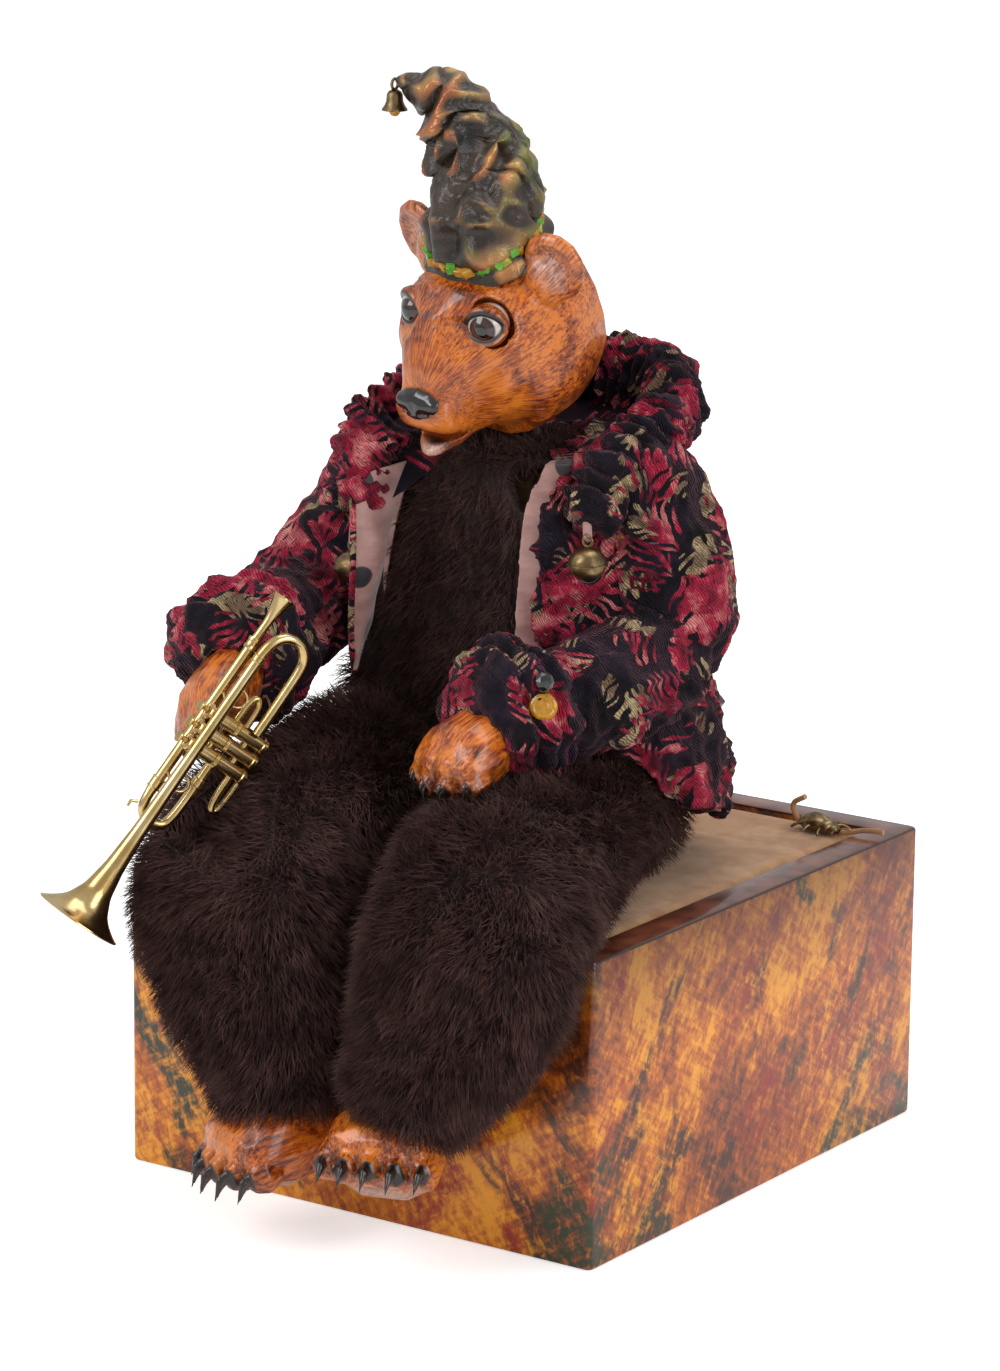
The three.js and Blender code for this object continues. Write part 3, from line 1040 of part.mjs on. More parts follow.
function collar() {
  const shoulders = [stuffed(JACKET, VELVET_THICK + GAP), stuffed(LEFT_SLEEVE, GAP), armRoom()];
  const swept = risingArm(stuffed(RIGHT_SLEEVE, 2 * FUR_CLEARANCE));
  put('collar', largest(cut(stuffed(COLLAR), ...shoulders, ...swept, ...turningHead())), 'velvet');
}

function arms() {
  const leftPaw = placed(clawed(PAW), figure(LEFT_PAW_SHARES), LEFT_PAW_AIM);
  const rightPaw = placed(clawed(PAW), figure(RIGHT_PAW_SHARES), RIGHT_PAW_AIM);
  const leftPad = placed(pad(PAW, GAP), figure(LEFT_PAW_SHARES), LEFT_PAW_AIM);
  const rightPad = placed(pad(PAW, GAP), figure(RIGHT_PAW_SHARES), RIGHT_PAW_AIM);
  const thigh = [stuffed(LEFT_LEG, GAP), stuffed(RIGHT_LEG, GAP)];
  const jacketRoom = stuffed(JACKET, VELVET_THICK + GAP);
  put('left_sleeve', largest(cut(stuffed(LEFT_SLEEVE), jacketRoom, ...thigh)), 'velvet');
  const button = figure(BUTTON_SHARES);
  const out = button.clone().sub(figure(LEFT_CUFF_SHARES[0])).normalize();
  const face = button.clone().addScaledVector(out, BUTTON_THICK);
  const bead = face.clone().add(point(0, 0, BUTTON_RADIUS + BUTTON_BEAD_RADIUS + GAP));
  const sewn = bar(button.clone().addScaledVector(out, -GAP), face.clone().addScaledVector(out, OVERRUN),
    BUTTON_RADIUS + GAP);
  const beadRoom = ball(bead, BUTTON_BEAD_RADIUS + GAP, BUTTON_BEAD_RADIUS + GAP, BUTTON_BEAD_RADIUS + GAP);
  const leftCuff = cut(stuffed(cuff(LEFT_CUFF_SHARES)), stuffed(LEFT_SLEEVE, GAP), leftPad, jacketRoom,
    ...thigh, sewn, beadRoom);
  put('left_cuff', largest(leftCuff), 'velvet');
  put('cuff_button', bar(button, face, BUTTON_RADIUS), 'amberGlass');
  put('cuff_bead', new THREE.IcosahedronGeometry(BUTTON_BEAD_RADIUS, 0).translate(bead.x, bead.y, bead.z),
    'blackGloss');
  put('left_paw', largest(cut(leftPaw, stuffed(LEFT_SLEEVE, GAP), ...thigh)), 'carvedWood');

  const inner = slab(-ARM_PLANE, FIGURE_WIDE, -FIGURE_DEEP / 2, FIGURE_DEEP, 0, 2 * FIGURE_TALL);
  const axleRoom = bar(point(-BOX_WIDTH, AXLE_Y, AXLE_Z), point(0, AXLE_Y, AXLE_Z),
    clearing(AXLE_RADIUS + GAP));
  put('right_sleeve', largest(cut(stuffed(RIGHT_SLEEVE), inner, axleRoom)), 'velvet');
  put('right_cuff', largest(cut(stuffed(cuff(RIGHT_CUFF_SHARES)), stuffed(RIGHT_SLEEVE, GAP), rightPad)),
    'velvet');
  put('right_paw', largest(cut(rightPaw, stuffed(RIGHT_SLEEVE, GAP), ...trumpetRoom())), 'carvedWood');
}

function feet() {
  const sole = (form, shares) => form.route.at(-1).clone().add(point(...shares).multiplyScalar(FOOT_LONG));
  const legs = [stuffed(LEFT_LEG, LEG_CLEARANCE), stuffed(RIGHT_LEG, LEG_CLEARANCE)];
  const front = slab(-BOX_WIDTH, BOX_WIDTH, BOX_FRONT - LEG_CLEARANCE, BOX_DEPTH, -BOX_HEIGHT, BOX_HEIGHT);
  const floor = slab(-BOX_WIDTH, BOX_WIDTH, -2 * BOX_DEPTH, 0, -BOX_HEIGHT, GAP);
  const right = placed(clawed(FOOT), sole(RIGHT_LEG, RIGHT_FOOT_SHARES), RIGHT_FOOT_AIM);
  const left = placed(clawed(FOOT), sole(LEFT_LEG, LEFT_FOOT_SHARES), LEFT_FOOT_AIM);
  put('right_foot', largest(cut(right, ...legs, front, floor)), 'carvedWood');
  put('left_foot', largest(cut(left, ...legs, front, floor, right)), 'carvedWood');
}

// A slotted round bell with its loop, on a ribbon from the end of the collar
function lapelBell(side, at, collarEnd) {
  const radius = LAPEL_BELL_RADIUS;
  const hollow = radius - BELL_WALL;
  const half = LAPEL_BELL_SLOT / 2;
  const slot = slab(at.x - radius, at.x + radius, at.y - half, at.y + half, at.z - radius - OVERRUN,
    at.z - radius / 4);
  const shell = cut(ball(at, radius, radius, radius, 12), ball(at, hollow, hollow, hollow, 8), slot);
  const loop = new THREE.TorusGeometry(LINK_RADIUS, WIRE_RADIUS, 5, 10).rotateX(Math.PI / 2);
  const eye = point(at.x, at.y, at.z + radius + LINK_RADIUS - WIRE_RADIUS);
  put(`${side}_lapel_bell`, join(shell, loop.translate(eye.x, eye.y, eye.z)), 'oldBrass');
  const low = eye.clone().add(point(0, 0, LINK_RADIUS - WIRE_RADIUS - GAP - RIBBON_THICK));
  const strap = bar(low, figure(collarEnd), RIBBON_WIDE / 2, 6);
  const spare = [stuffed(COLLAR, GAP), stuffed(JACKET, VELVET_THICK + GAP), loopRoom(eye)];
  put(`${side}_ribbon`, largest(cut(strap, ...spare)), 'velvet');
}

function loopRoom(eye) {
  const room = new THREE.TorusGeometry(LINK_RADIUS, WIRE_RADIUS + GAP, 6, 10).rotateX(Math.PI / 2);
  return room.translate(eye.x, eye.y, eye.z);
}

// Trumpet
const TRUMPET_PLACE = new THREE.Matrix4();
{
  const bellward = point(...BELL_AIM).normalize();
  const sideways = bellward.clone().cross(point(...VALVE_AIM)).normalize();
  TRUMPET_PLACE.makeBasis(bellward, sideways.clone().cross(bellward), sideways);
  TRUMPET_PLACE.setPosition(figure(TRUMPET_SHARES));
}
const LEAD = { y: -TUBE_RADIUS, z: -3.5 * TUBE_RADIUS };
const VALVE_Z = LEAD.z / 2;
const VALVE_TOP = -1.5 * TUBE_RADIUS;

function bow(x0, x1, y0, y1, z, end = x0) {
  const round = (y1 - y0) / 2;
  const turn = Math.sign(x1 - x0) * Math.abs(round);
  return [point(x0, y0, z), point(x1 - turn, y0, z), point(x1 - turn * 0.3, y0 + round * 0.3, z),
    point(x1, y0 + round, z),
    point(x1 - turn * 0.3, y1 - round * 0.3, z), point(x1 - turn, y1, z), point(end, y1, z)];
}

function trumpet() {
  const outer = BELL_SHARES.map(([reach, radius]) => [radius * BELL_RIM_RADIUS, reach * BELL_REACH]);
  const inner = BELL_SHARES.slice(3).map(([reach, radius]) => [radius * BELL_RIM_RADIUS - BELL_WALL,
    reach * BELL_REACH]);
  const bell = turned([[0, outer[0][1]], ...outer, ...inner.reverse(), [0, inner.at(-1)[1]]],
    14).rotateZ(-Math.PI / 2);
  const valves = [0, 1, 2].map((i) => (i - 2) * VALVE_PITCH);
  const tail = outer[0][1];
  const pieces = [
    tube(bow(tail + TUBE_RADIUS, tail - BELL_LOOP_DROP / 2, 0, BELL_LOOP_DROP, 0, valves[0]), TUBE_RADIUS,
      6, 12),
    bar(point(-MOUTHPIECE_REACH + MOUTHPIECE_LONG, LEAD.y, LEAD.z),
      point(SLIDE_REACH - SLIDE_DROP / 2, LEAD.y, LEAD.z), TUBE_RADIUS, 10),
    tube(bow(SLIDE_REACH / 3, SLIDE_REACH + TUBE_RADIUS, LEAD.y, LEAD.y + SLIDE_DROP, LEAD.z, valves[2]),
      TUBE_RADIUS * 0.9, 6, 12),
    bar(point(valves[0], VALVE_LONG / 4, VALVE_Z), point(valves[2], VALVE_LONG / 4, VALVE_Z),
      TUBE_RADIUS * 0.7, 6),
    bar(point(valves[0], VALVE_LONG * 0.6, VALVE_Z), point(valves[2], VALVE_LONG * 0.6, VALVE_Z),
      TUBE_RADIUS * 0.7, 6),
    tube(bow(valves[2], valves[2] + SLIDE_REACH * 0.6, VALVE_LONG * 0.68, VALVE_LONG * 0.86, VALVE_Z),
      TUBE_RADIUS * 0.7, 5, 8),
    tube(bow(valves[0], valves[0] - SLIDE_REACH / 2, VALVE_LONG * 0.3, VALVE_LONG * 0.48, VALVE_Z),
      TUBE_RADIUS * 0.7, 5, 8),
    bar(point(tail / 2, 0, 0), point(tail / 2, LEAD.y, LEAD.z), WIRE_RADIUS, 6),
    bar(point(SLIDE_REACH / 2, 0, 0), point(SLIDE_REACH / 2, LEAD.y, LEAD.z), WIRE_RADIUS, 6),
  ];
  for (const x of [valves[0] - SLIDE_REACH / 3, valves[2] + SLIDE_REACH / 2]) {
    const ring = new THREE.TorusGeometry(RING_RADIUS, WIRE_RADIUS, 5, 12);
    pieces.push(ring.translate(x, VALVE_LONG * 0.3 - RING_RADIUS - WIRE_RADIUS, VALVE_Z));
  }
  for (const x of valves) {
    pieces.push(bar(point(x, VALVE_TOP, VALVE_Z), point(x, VALVE_TOP + VALVE_LONG, VALVE_Z), VALVE_RADIUS,
      8));
    for (const share of [0, 0.92]) {
      const cap = VALVE_TOP + share * VALVE_LONG;
      pieces.push(bar(point(x, cap, VALVE_Z), point(x, cap + VALVE_BUTTON_THICK, VALVE_Z),
        VALVE_RADIUS + WIRE_RADIUS / 2, 8));
    }
  }
  const mouth = MOUTHPIECE_SHARES.map(([reach, radius]) => (
    [radius * MOUTHPIECE_RIM_RADIUS, reach * MOUTHPIECE_LONG - MOUTHPIECE_REACH]));
  pieces.push(turned(mouth, 12).rotateZ(-Math.PI / 2).translate(0, LEAD.y, LEAD.z));
  const wells = valves.map((x) => bar(point(x, VALVE_TOP - OVERRUN, VALVE_Z),
    point(x, VALVE_TOP + VALVE_TRAVEL + VALVE_BUTTON_THICK + GAP,
      VALVE_Z), clearing(VALVE_STEM_RADIUS + GAP, 8), 8));
  put('trumpet_body', largest(cut(join(bell, ...pieces), ...wells)).applyMatrix4(TRUMPET_PLACE), 'brass');
  valves.forEach((x, i) => {
    const button = VALVE_TOP - VALVE_TRAVEL - VALVE_BUTTON_THICK - GAP;
    const stem = bar(point(x, button, VALVE_Z), point(x, VALVE_TOP + VALVE_BUTTON_THICK, VALVE_Z),
      VALVE_STEM_RADIUS, 8);
    const cap = bar(point(x, button, VALVE_Z), point(x, button + VALVE_BUTTON_THICK, VALVE_Z),
      VALVE_BUTTON_RADIUS, 12);
    put(`valve_${i + 1}`, join(stem, cap).applyMatrix4(TRUMPET_PLACE), 'brass');
  });
}

// The room the trumpet's valves and slides need beside the knee
function hornRoom() {
  const reach = SLIDE_REACH + 2 * TUBE_RADIUS;
  const valves = slab(-reach, reach, 0, VALVE_LONG, LEAD.z - TUBE_RADIUS - FUR_CLEARANCE,
    TUBE_RADIUS + VALVE_LONG);
  const start = clearing(2 * TUBE_RADIUS);
  const bell = bar(point(-reach, 0, 0), point(BELL_REACH + FUR_CLEARANCE, 0, 0), start, ROUND_SIDES,
    clearing(BELL_RIM_RADIUS + FUR_CLEARANCE));
  return [valves, bell].map((room) => room.applyMatrix4(TRUMPET_PLACE));
}

// The room the trumpet needs in the paw that holds it
function trumpetRoom() {
  const reach = SLIDE_REACH + SLIDE_DROP;
  const rooms = [bar(point(-MOUTHPIECE_REACH, LEAD.y, LEAD.z), point(reach, LEAD.y, LEAD.z),
    clearing(TUBE_RADIUS + GAP, 10), 10)];
  rooms.push(slab(-reach, reach, VALVE_TOP - 2 * VALVE_RADIUS - VALVE_TRAVEL, VALVE_LONG,
    VALVE_Z - VALVE_RADIUS - FUR_CLEARANCE, VALVE_LONG));
  rooms.push(slab(-reach, reach, VALVE_TOP, VALVE_LONG, LEAD.z - TUBE_RADIUS - GAP, VALVE_LONG));
  return rooms.map((room) => room.applyMatrix4(TRUMPET_PLACE));
}

// Hatch pull
function pull() {
  const long = BEETLE_LONG;
  const wide = BEETLE_LONG * BEETLE_WIDE_SHARE;
  const tall = BEETLE_LONG * BEETLE_TALL_SHARE;
  const pieces = [
    ball(point(0, -long / 4, 0), wide / 3, long / 8, tall * 0.8, 8),
    ball(point(0, -long * 0.42, 0), wide / 5, long / 9, tall * 0.6, 7),
  ];
  for (const side of [-1, 1]) {
    for (const share of [-0.28, 0, 0.28]) {
      const hip = point(0, share * long * 0.6, 0);
      const knee = point(side * wide * 0.62, share * long, tall * 0.4);
      const foot = point(side * wide * 0.8, share * long * 1.4, -tall * 0.5);
      pieces.push(bar(hip, knee, WIRE_RADIUS, 4), bar(knee.clone().lerp(hip, 0.06), foot, WIRE_RADIUS, 4));
    }
  }
  const beetle = join(ball(point(0, long * 0.12, 0), wide / 2, long * 0.36, tall, 10), ...pieces);
  beetle.rotateZ(THREE.MathUtils.degToRad(BEETLE_TURN));
  const under = SUEDE_TOP + SUEDE_CROWN + GAP;
  beetle.computeBoundingBox();
  beetle.translate(BEETLE_X, BEETLE_Y, under - beetle.boundingBox.min.z);
  put('pull_beetle', largest(cut(beetle, tube(thongRoute(), THONG_RADIUS + 2 * GAP, 5, 20))), 'oldBrass');
  put('pull_thong', tube(thongRoute(), THONG_RADIUS, 5, 20), 'suede');
}

function thongRoute() {
  const level = SUEDE_TOP + SUEDE_CROWN + GAP + THONG_RADIUS;
  return THONG_SHARES.map(([x, y, z]) => point(BEETLE_X + x * BEETLE_LONG, BEETLE_Y + y * BEETLE_LONG,
    level + z * BEETLE_LONG));
}

// The room the wooden frame and its neck plate need inside the stuffing
function frameRoom() {
  return slab(-FRAME_HALF - FUR_CLEARANCE, FRAME_HALF + FUR_CLEARANCE, FRAME_FRONT - FUR_CLEARANCE,
    FRAME_BACK + FUR_CLEARANCE, 0, FRAME_TOP + NECK_PLATE_THICK + FUR_CLEARANCE);
}

function torsoAndLegs() {
  const above = slab(-BOX_WIDTH, BOX_WIDTH, -BOX_DEPTH, BOX_DEPTH, SEAT_LEVEL, HEAD_Z);
  const neckRoom = bar(point(0, 0, FRAME_TOP), point(0, 0, HEAD_Z), NECK_COLLAR_RADIUS + FUR_CLEARANCE);
  const axleRoom = bar(point(-BOX_WIDTH, AXLE_Y, AXLE_Z),
    point(FRAME_HALF + 2 * SHAFT_END_PLAY, AXLE_Y, AXLE_Z),
    AXLE_RADIUS + FUR_CLEARANCE);
  const torso = cut(meet(stuffed(TORSO), above), frameRoom(), neckRoom, axleRoom, armRoom(),
    ...turningHead());
  put('torso_fur', largest(torso), 'fur');
  const boxRoom = slab(-BOX_WIDTH / 2 - LEG_CLEARANCE, BOX_WIDTH / 2 + LEG_CLEARANCE,
    -BOX_DEPTH / 2 - LEG_CLEARANCE, BOX_DEPTH, -OVERRUN, BOX_HEIGHT + LEG_CLEARANCE);
  const body = [boxRoom, stuffed(TORSO, LEG_CLEARANCE), frameRoom()];
  put('left_leg', largest(cut(stuffed(LEFT_LEG), ...body)), 'fur');
  put('right_leg', largest(cut(stuffed(RIGHT_LEG), ...body, stuffed(LEFT_LEG, LEG_CLEARANCE),
    ...hornRoom())), 'fur');
}

boxPanels();
seatAndHatch();
camshaft();
torsoFrame();
torsoAndLegs();
head();
hat();
jacket();
collar();
arms();
feet();
lapelBell('left', figure(LEFT_BELL_SHARES), COLLAR_SHARES.at(-1));
lapelBell('right', figure(RIGHT_BELL_SHARES), COLLAR_SHARES[0]);
trumpet();
pull();

export default part;
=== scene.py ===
"""Looks of the crank automaton: a bear musician seated on a painted wooden box."""

import logging
import math
from dataclasses import dataclass
from enum import Enum

import bmesh
import bpy
import numpy as np
from mathutils import Matrix, Vector, kdtree
from mathutils.bvhtree import BVHTree


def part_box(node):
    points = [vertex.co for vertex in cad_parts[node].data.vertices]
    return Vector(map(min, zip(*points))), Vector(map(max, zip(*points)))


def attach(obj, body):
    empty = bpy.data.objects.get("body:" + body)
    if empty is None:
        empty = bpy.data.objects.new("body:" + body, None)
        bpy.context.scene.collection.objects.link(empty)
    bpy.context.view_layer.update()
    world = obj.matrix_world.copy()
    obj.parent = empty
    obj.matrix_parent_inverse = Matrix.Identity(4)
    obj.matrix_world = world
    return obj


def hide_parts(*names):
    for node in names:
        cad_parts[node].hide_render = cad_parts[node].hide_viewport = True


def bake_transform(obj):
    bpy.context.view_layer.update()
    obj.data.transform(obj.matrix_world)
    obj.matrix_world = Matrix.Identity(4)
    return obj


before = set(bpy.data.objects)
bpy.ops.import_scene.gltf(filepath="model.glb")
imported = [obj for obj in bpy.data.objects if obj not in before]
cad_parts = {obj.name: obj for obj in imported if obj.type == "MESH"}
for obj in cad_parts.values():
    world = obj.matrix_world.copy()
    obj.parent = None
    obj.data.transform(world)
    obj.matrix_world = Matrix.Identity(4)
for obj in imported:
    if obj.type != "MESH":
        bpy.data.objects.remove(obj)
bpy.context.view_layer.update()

LOG = logging.getLogger("automaton")
MM = 0.001
SEED = 7
SEAT_LEVEL = 151.7
MERGE_DISTANCE = 2e-6
FIGURE_SIZE = np.array([200.0, 200.0, 250.0])

Triple = tuple[float, float, float]


# Places and numbers


def figure(x: float, y: float, z: float) -> np.ndarray:
    """Returns a place on the figure in metres.

    Args:
        x: Share of the figure's width.
        y: Share of its depth.
        z: Share of its height above the seat.
    """
    return (np.array([x, y, z]) * FIGURE_SIZE + [0, 0, SEAT_LEVEL]) * MM


def rotation(axis: str, degrees: float) -> Matrix:
    """Returns a 4x4 turn about one axis."""
    return Matrix.Rotation(math.radians(degrees), 4, axis)


def shifted(x: float, y: float, z: float) -> Matrix:
    """Returns a 4x4 shift given in millimetres."""
    return Matrix.Translation(Vector((x, y, z)) * MM)


def facing(centre: Vector, way: Vector) -> Matrix:
    """Returns the place of a piece whose own Z axis points one way.

    Args:
        centre: Its middle in millimetres.
        way: Where its Z axis points.
    """
    return shifted(*centre) @ way.to_track_quat("Z", "Y").to_matrix().to_4x4()


HEAD_PLACE = shifted(0, -18, 414) @ rotation("Z", -9) @ rotation("X", 18) @ rotation("Y", 4)


def moved(points: np.ndarray, place: Matrix) -> np.ndarray:
    """Returns points carried by a matrix.

    Args:
        points: Rows of x, y, z.
        place: The 4x4 place to carry them to.
    """
    turn = np.array(place)
    return points @ turn[:3, :3].T + turn[:3, 3]


def lattice(points: np.ndarray, seed: int) -> np.ndarray:
    """Returns a random number from -1 to 1 for each whole-number place.

    Args:
        points: Rows of whole numbers.
        seed: Chooses the pattern.
    """
    cell = points.astype(np.int64) * np.array([73856093, 19349663, 83492791]) + seed * 2654435761
    mixed = (cell[..., 0] ^ cell[..., 1] ^ cell[..., 2]) & 0xFFFFFFFF
    mixed = (mixed ^ (mixed >> 15)) * 2246822519 & 0xFFFFFFFF
    mixed = (mixed ^ (mixed >> 13)) * 3266489917 & 0xFFFFFFFF
    return (mixed ^ (mixed >> 16)) / 2147483648.0 - 1.0


def noise(points: np.ndarray, grain: float, seed: int = 0, octaves: int = 1) -> np.ndarray:
    """Returns smooth noise of about -1 to 1 at each point.

    Args:
        points: Rows of x, y, z in metres.
        grain: Size of a lump in metres.
        seed: Chooses the pattern.
        octaves: Layers of detail, each half as large as the last.
    """
    total = np.zeros(len(points))
    for layer in range(octaves):
        place = points * (2**layer / grain) + 100.0
        low = np.floor(place)
        part = place - low
        part = part * part * (3 - 2 * part)
        value = np.zeros(len(points))
        for corner in np.ndindex(2, 2, 2):
            weight = np.prod(np.where(corner, part, 1 - part), axis=1)
            value += weight * lattice(low + corner, seed + 31 * layer)
        total += value / 2**layer
    return total


def ease(value: np.ndarray, low: float, high: float) -> np.ndarray:
    """Returns 0 below low, 1 above high and a smooth rise between."""
    share = np.clip((value - low) / (high - low), 0, 1)
    return share * share * (3 - 2 * share)


def unit(rows: np.ndarray) -> np.ndarray:
    """Returns each row scaled to length 1."""
    return rows / np.linalg.norm(rows, axis=1, keepdims=True)


def grid(rows: int, wide: int, closed: bool = False) -> list[tuple[int, ...]]:
    """Returns the faces between rows of points.

    Args:
        rows: How many rows there are.
        wide: Points in a row.
        closed: Joins each row's end to its start.
    """
    return [(i * wide + j, i * wide + (j + 1) % wide, (i + 1) * wide + (j + 1) % wide, (i + 1) * wide + j)
            for i in range(rows - 1) for j in range(wide if closed else wide - 1)]


def hoop(centre: Triple, radius: float, axes: str, steps: int = 16) -> list[tuple[float, ...]]:
    """Returns the points of a circle, with the first one repeated at the end.

    Args:
        centre: Its middle.
        radius: Its radius.
        axes: The two axes that it lies along, such as "xy".
        steps: Parts that it is cut in.
    """
    points = np.tile(np.array(centre, dtype=float), (steps + 1, 1))
    angle = np.linspace(0, 2 * math.pi, steps + 1)
    points[:, "xyz".index(axes[0])] += radius * np.cos(angle)
    points[:, "xyz".index(axes[1])] += radius * np.sin(angle)
    return [tuple(point) for point in points.tolist()]


class Route:
    """A smooth line through points, and where other points lie along it."""

    def __init__(self, points: list[np.ndarray], steps: int = 40) -> None:
        """Samples the line.

        Args:
            points: The places it passes through, in metres.
            steps: Samples between two of them.
        """
        knots = [np.asarray(p, dtype=float) for p in points]
        knots = [2 * knots[0] - knots[1], *knots, 2 * knots[-1] - knots[-2]]
        rows = []
        for a, b, c, d in zip(knots, knots[1:], knots[2:], knots[3:]):
            for t in np.linspace(0, 1, steps, endpoint=False):
                rows.append(0.5 * (2 * b + (c - a) * t + (2 * a - 5 * b + 4 * c - d) * t**2
                                   + (3 * b - a - 3 * c + d) * t**3))
        rows.append(knots[-2])
        self.line = np.array(rows)
        self.along = unit(np.gradient(self.line, axis=0))
        walked = np.concatenate([[0], np.cumsum(np.linalg.norm(np.diff(self.line, axis=0), axis=1))])
        self.length = walked[-1]
        self.share = walked / walked[-1]

    def locate(self, points: np.ndarray, side: Triple) -> tuple[np.ndarray, np.ndarray, np.ndarray]:
        """Returns the share along the line, the angle round it and the way outward at each point.

        Args:
            points: Rows of x, y, z in metres.
            side: The direction that counts as angle 0.
        """
        nearest = np.concatenate([
            np.argmin(((chunk[:, None, :] - self.line[None]) ** 2).sum(axis=2), axis=1)
            for chunk in np.array_split(points, max(1, len(points) // 4000))])
        along = self.along[nearest]
        out = points - self.line[nearest]
        out -= along * (out * along).sum(axis=1, keepdims=True)
        start = np.asarray(side, dtype=float)
        across = unit(start - along * (along @ start)[:, None])
        rise = np.cross(along, across)
        angle = np.arctan2((out * rise).sum(axis=1), (out * across).sum(axis=1))
        reach = np.linalg.norm(out, axis=1, keepdims=True)
        return self.share[nearest], angle, out / np.maximum(reach, 1e-9)


def figure_route(*places: Triple) -> Route:
    """Returns a smooth line through places on the figure, given as shares of its size."""
    return Route([figure(*place) for place in places])


# Meshes


def deselect() -> None:
    """Leaves edit mode and selects nothing."""
    if bpy.context.object and bpy.context.object.mode != "OBJECT":
        bpy.ops.object.mode_set(mode="OBJECT")
    bpy.ops.object.select_all(action="DESELECT")


def take(obj: bpy.types.Object) -> bpy.types.Object:
    """Returns the object after making it the only selected and active one."""
    deselect()
    obj.select_set(True)
    bpy.context.view_layer.objects.active = obj
    return obj


def finish_modifier(obj: bpy.types.Object, kind: str, **settings: object) -> None:
    """Adds a modifier, sets it and applies it.

    Args:
        obj: The mesh object.
        kind: The modifier's type name.
        settings: Its properties by name.
    """
    take(obj)
    modifier = obj.modifiers.new(kind.lower(), kind)
    for name, value in settings.items():
        setattr(modifier, name, value)
    bpy.ops.object.modifier_apply(modifier=modifier.name)


def linked(name: str, data: bpy.types.ID | None) -> bpy.types.Object:
    """Returns a new object of the scene that shows the data."""
    obj = bpy.data.objects.new(name, data)
    bpy.context.scene.collection.objects.link(obj)
    return obj


def from_arrays(name: str, points: np.ndarray, faces: list) -> bpy.types.Object:
    """Returns a new mesh object.

    Args:
        name: Its name.
        points: Rows of x, y, z in metres.
        faces: Rows of point numbers.
    """
    mesh = bpy.data.meshes.new(name)
    mesh.from_pydata(np.asarray(points).tolist(), [], faces)
    mesh.update()
    return linked(name, mesh)


def copy_of(node: str, name: str) -> bpy.types.Object:
    """Returns a merged copy of a node of the frame.

    Args:
        node: The node's name.
        name: The new piece's name.
    """
    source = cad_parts[node]
    obj = linked(name, source.data.copy())
    obj.data.materials.clear()
    work = bmesh.new()
    work.from_mesh(obj.data)
    work.transform(source.matrix_world)
    bmesh.ops.remove_doubles(work, verts=work.verts, dist=MERGE_DISTANCE)
    for loop in work.loops.layers.uv.values():
        work.loops.layers.uv.remove(loop)
    work.to_mesh(obj.data)
    work.free()
    return obj


def soft_copy(node: str, name: str, voxel: float, smooth: int) -> bpy.types.Object:
    """Returns a copy of a node remade with small even faces and rounded edges.

    Args:
        node: The node's name.
        name: The new piece's name.
        voxel: Face size in millimetres.
        smooth: Rounds of smoothing.
    """
    obj = copy_of(node, name)
    finish_modifier(obj, "REMESH", mode="VOXEL", voxel_size=voxel * MM, use_smooth_shade=True)
    finish_modifier(obj, "SMOOTH", factor=0.5, iterations=smooth)
    return obj


def read_points(obj: bpy.types.Object) -> np.ndarray:
    """Returns the object's points as rows."""
    values = np.empty(len(obj.data.vertices) * 3)
    obj.data.vertices.foreach_get("co", values)
    return values.reshape(-1, 3)


def read_normals(obj: bpy.types.Object) -> np.ndarray:
    """Returns the object's point normals as rows."""
    values = np.empty(len(obj.data.vertices) * 3)
    obj.data.vertex_normals.foreach_get("vector", values)
    return values.reshape(-1, 3)


def write_points(obj: bpy.types.Object, points: np.ndarray) -> None:
    """Moves the object's points to new places."""
    obj.data.vertices.foreach_set("co", np.ascontiguousarray(points, dtype=np.float32).ravel())
    obj.data.update()


def paint(obj: bpy.types.Object, layer: str, values: np.ndarray) -> None:
    """Stores one number or one triple per point for the materials to read.

    Args:
        obj: The mesh object.
        layer: The attribute's name.
        values: One row per point.
    """
    single = values.ndim == 1
    kind = "FLOAT" if single else "FLOAT_VECTOR"
    data = obj.data.attributes.new(layer, kind, "POINT").data
    data.foreach_set("value" if single else "vector", np.ascontiguousarray(values, dtype=np.float32).ravel())


def smooth_shade(obj: bpy.types.Object, degrees: float = 180.0) -> None:
    """Shades the faces smoothly, apart from edges sharper than the angle."""
    take(obj)
    if degrees >= 180:
        bpy.ops.object.shade_smooth()
    else:
        bpy.ops.object.shade_smooth_by_angle(angle=math.radians(degrees))


def settle(obj: bpy.types.Object, place: Matrix | None = None) -> bpy.types.Object:
    """Returns the object with its place moved into its mesh.

    Args:
        obj: The object to settle.
        place: A further place to carry it to.
    """
    take(obj)
    obj.data.transform((place or Matrix()) @ obj.matrix_basis)
    obj.matrix_basis = Matrix()
    obj.data.update()
    return obj


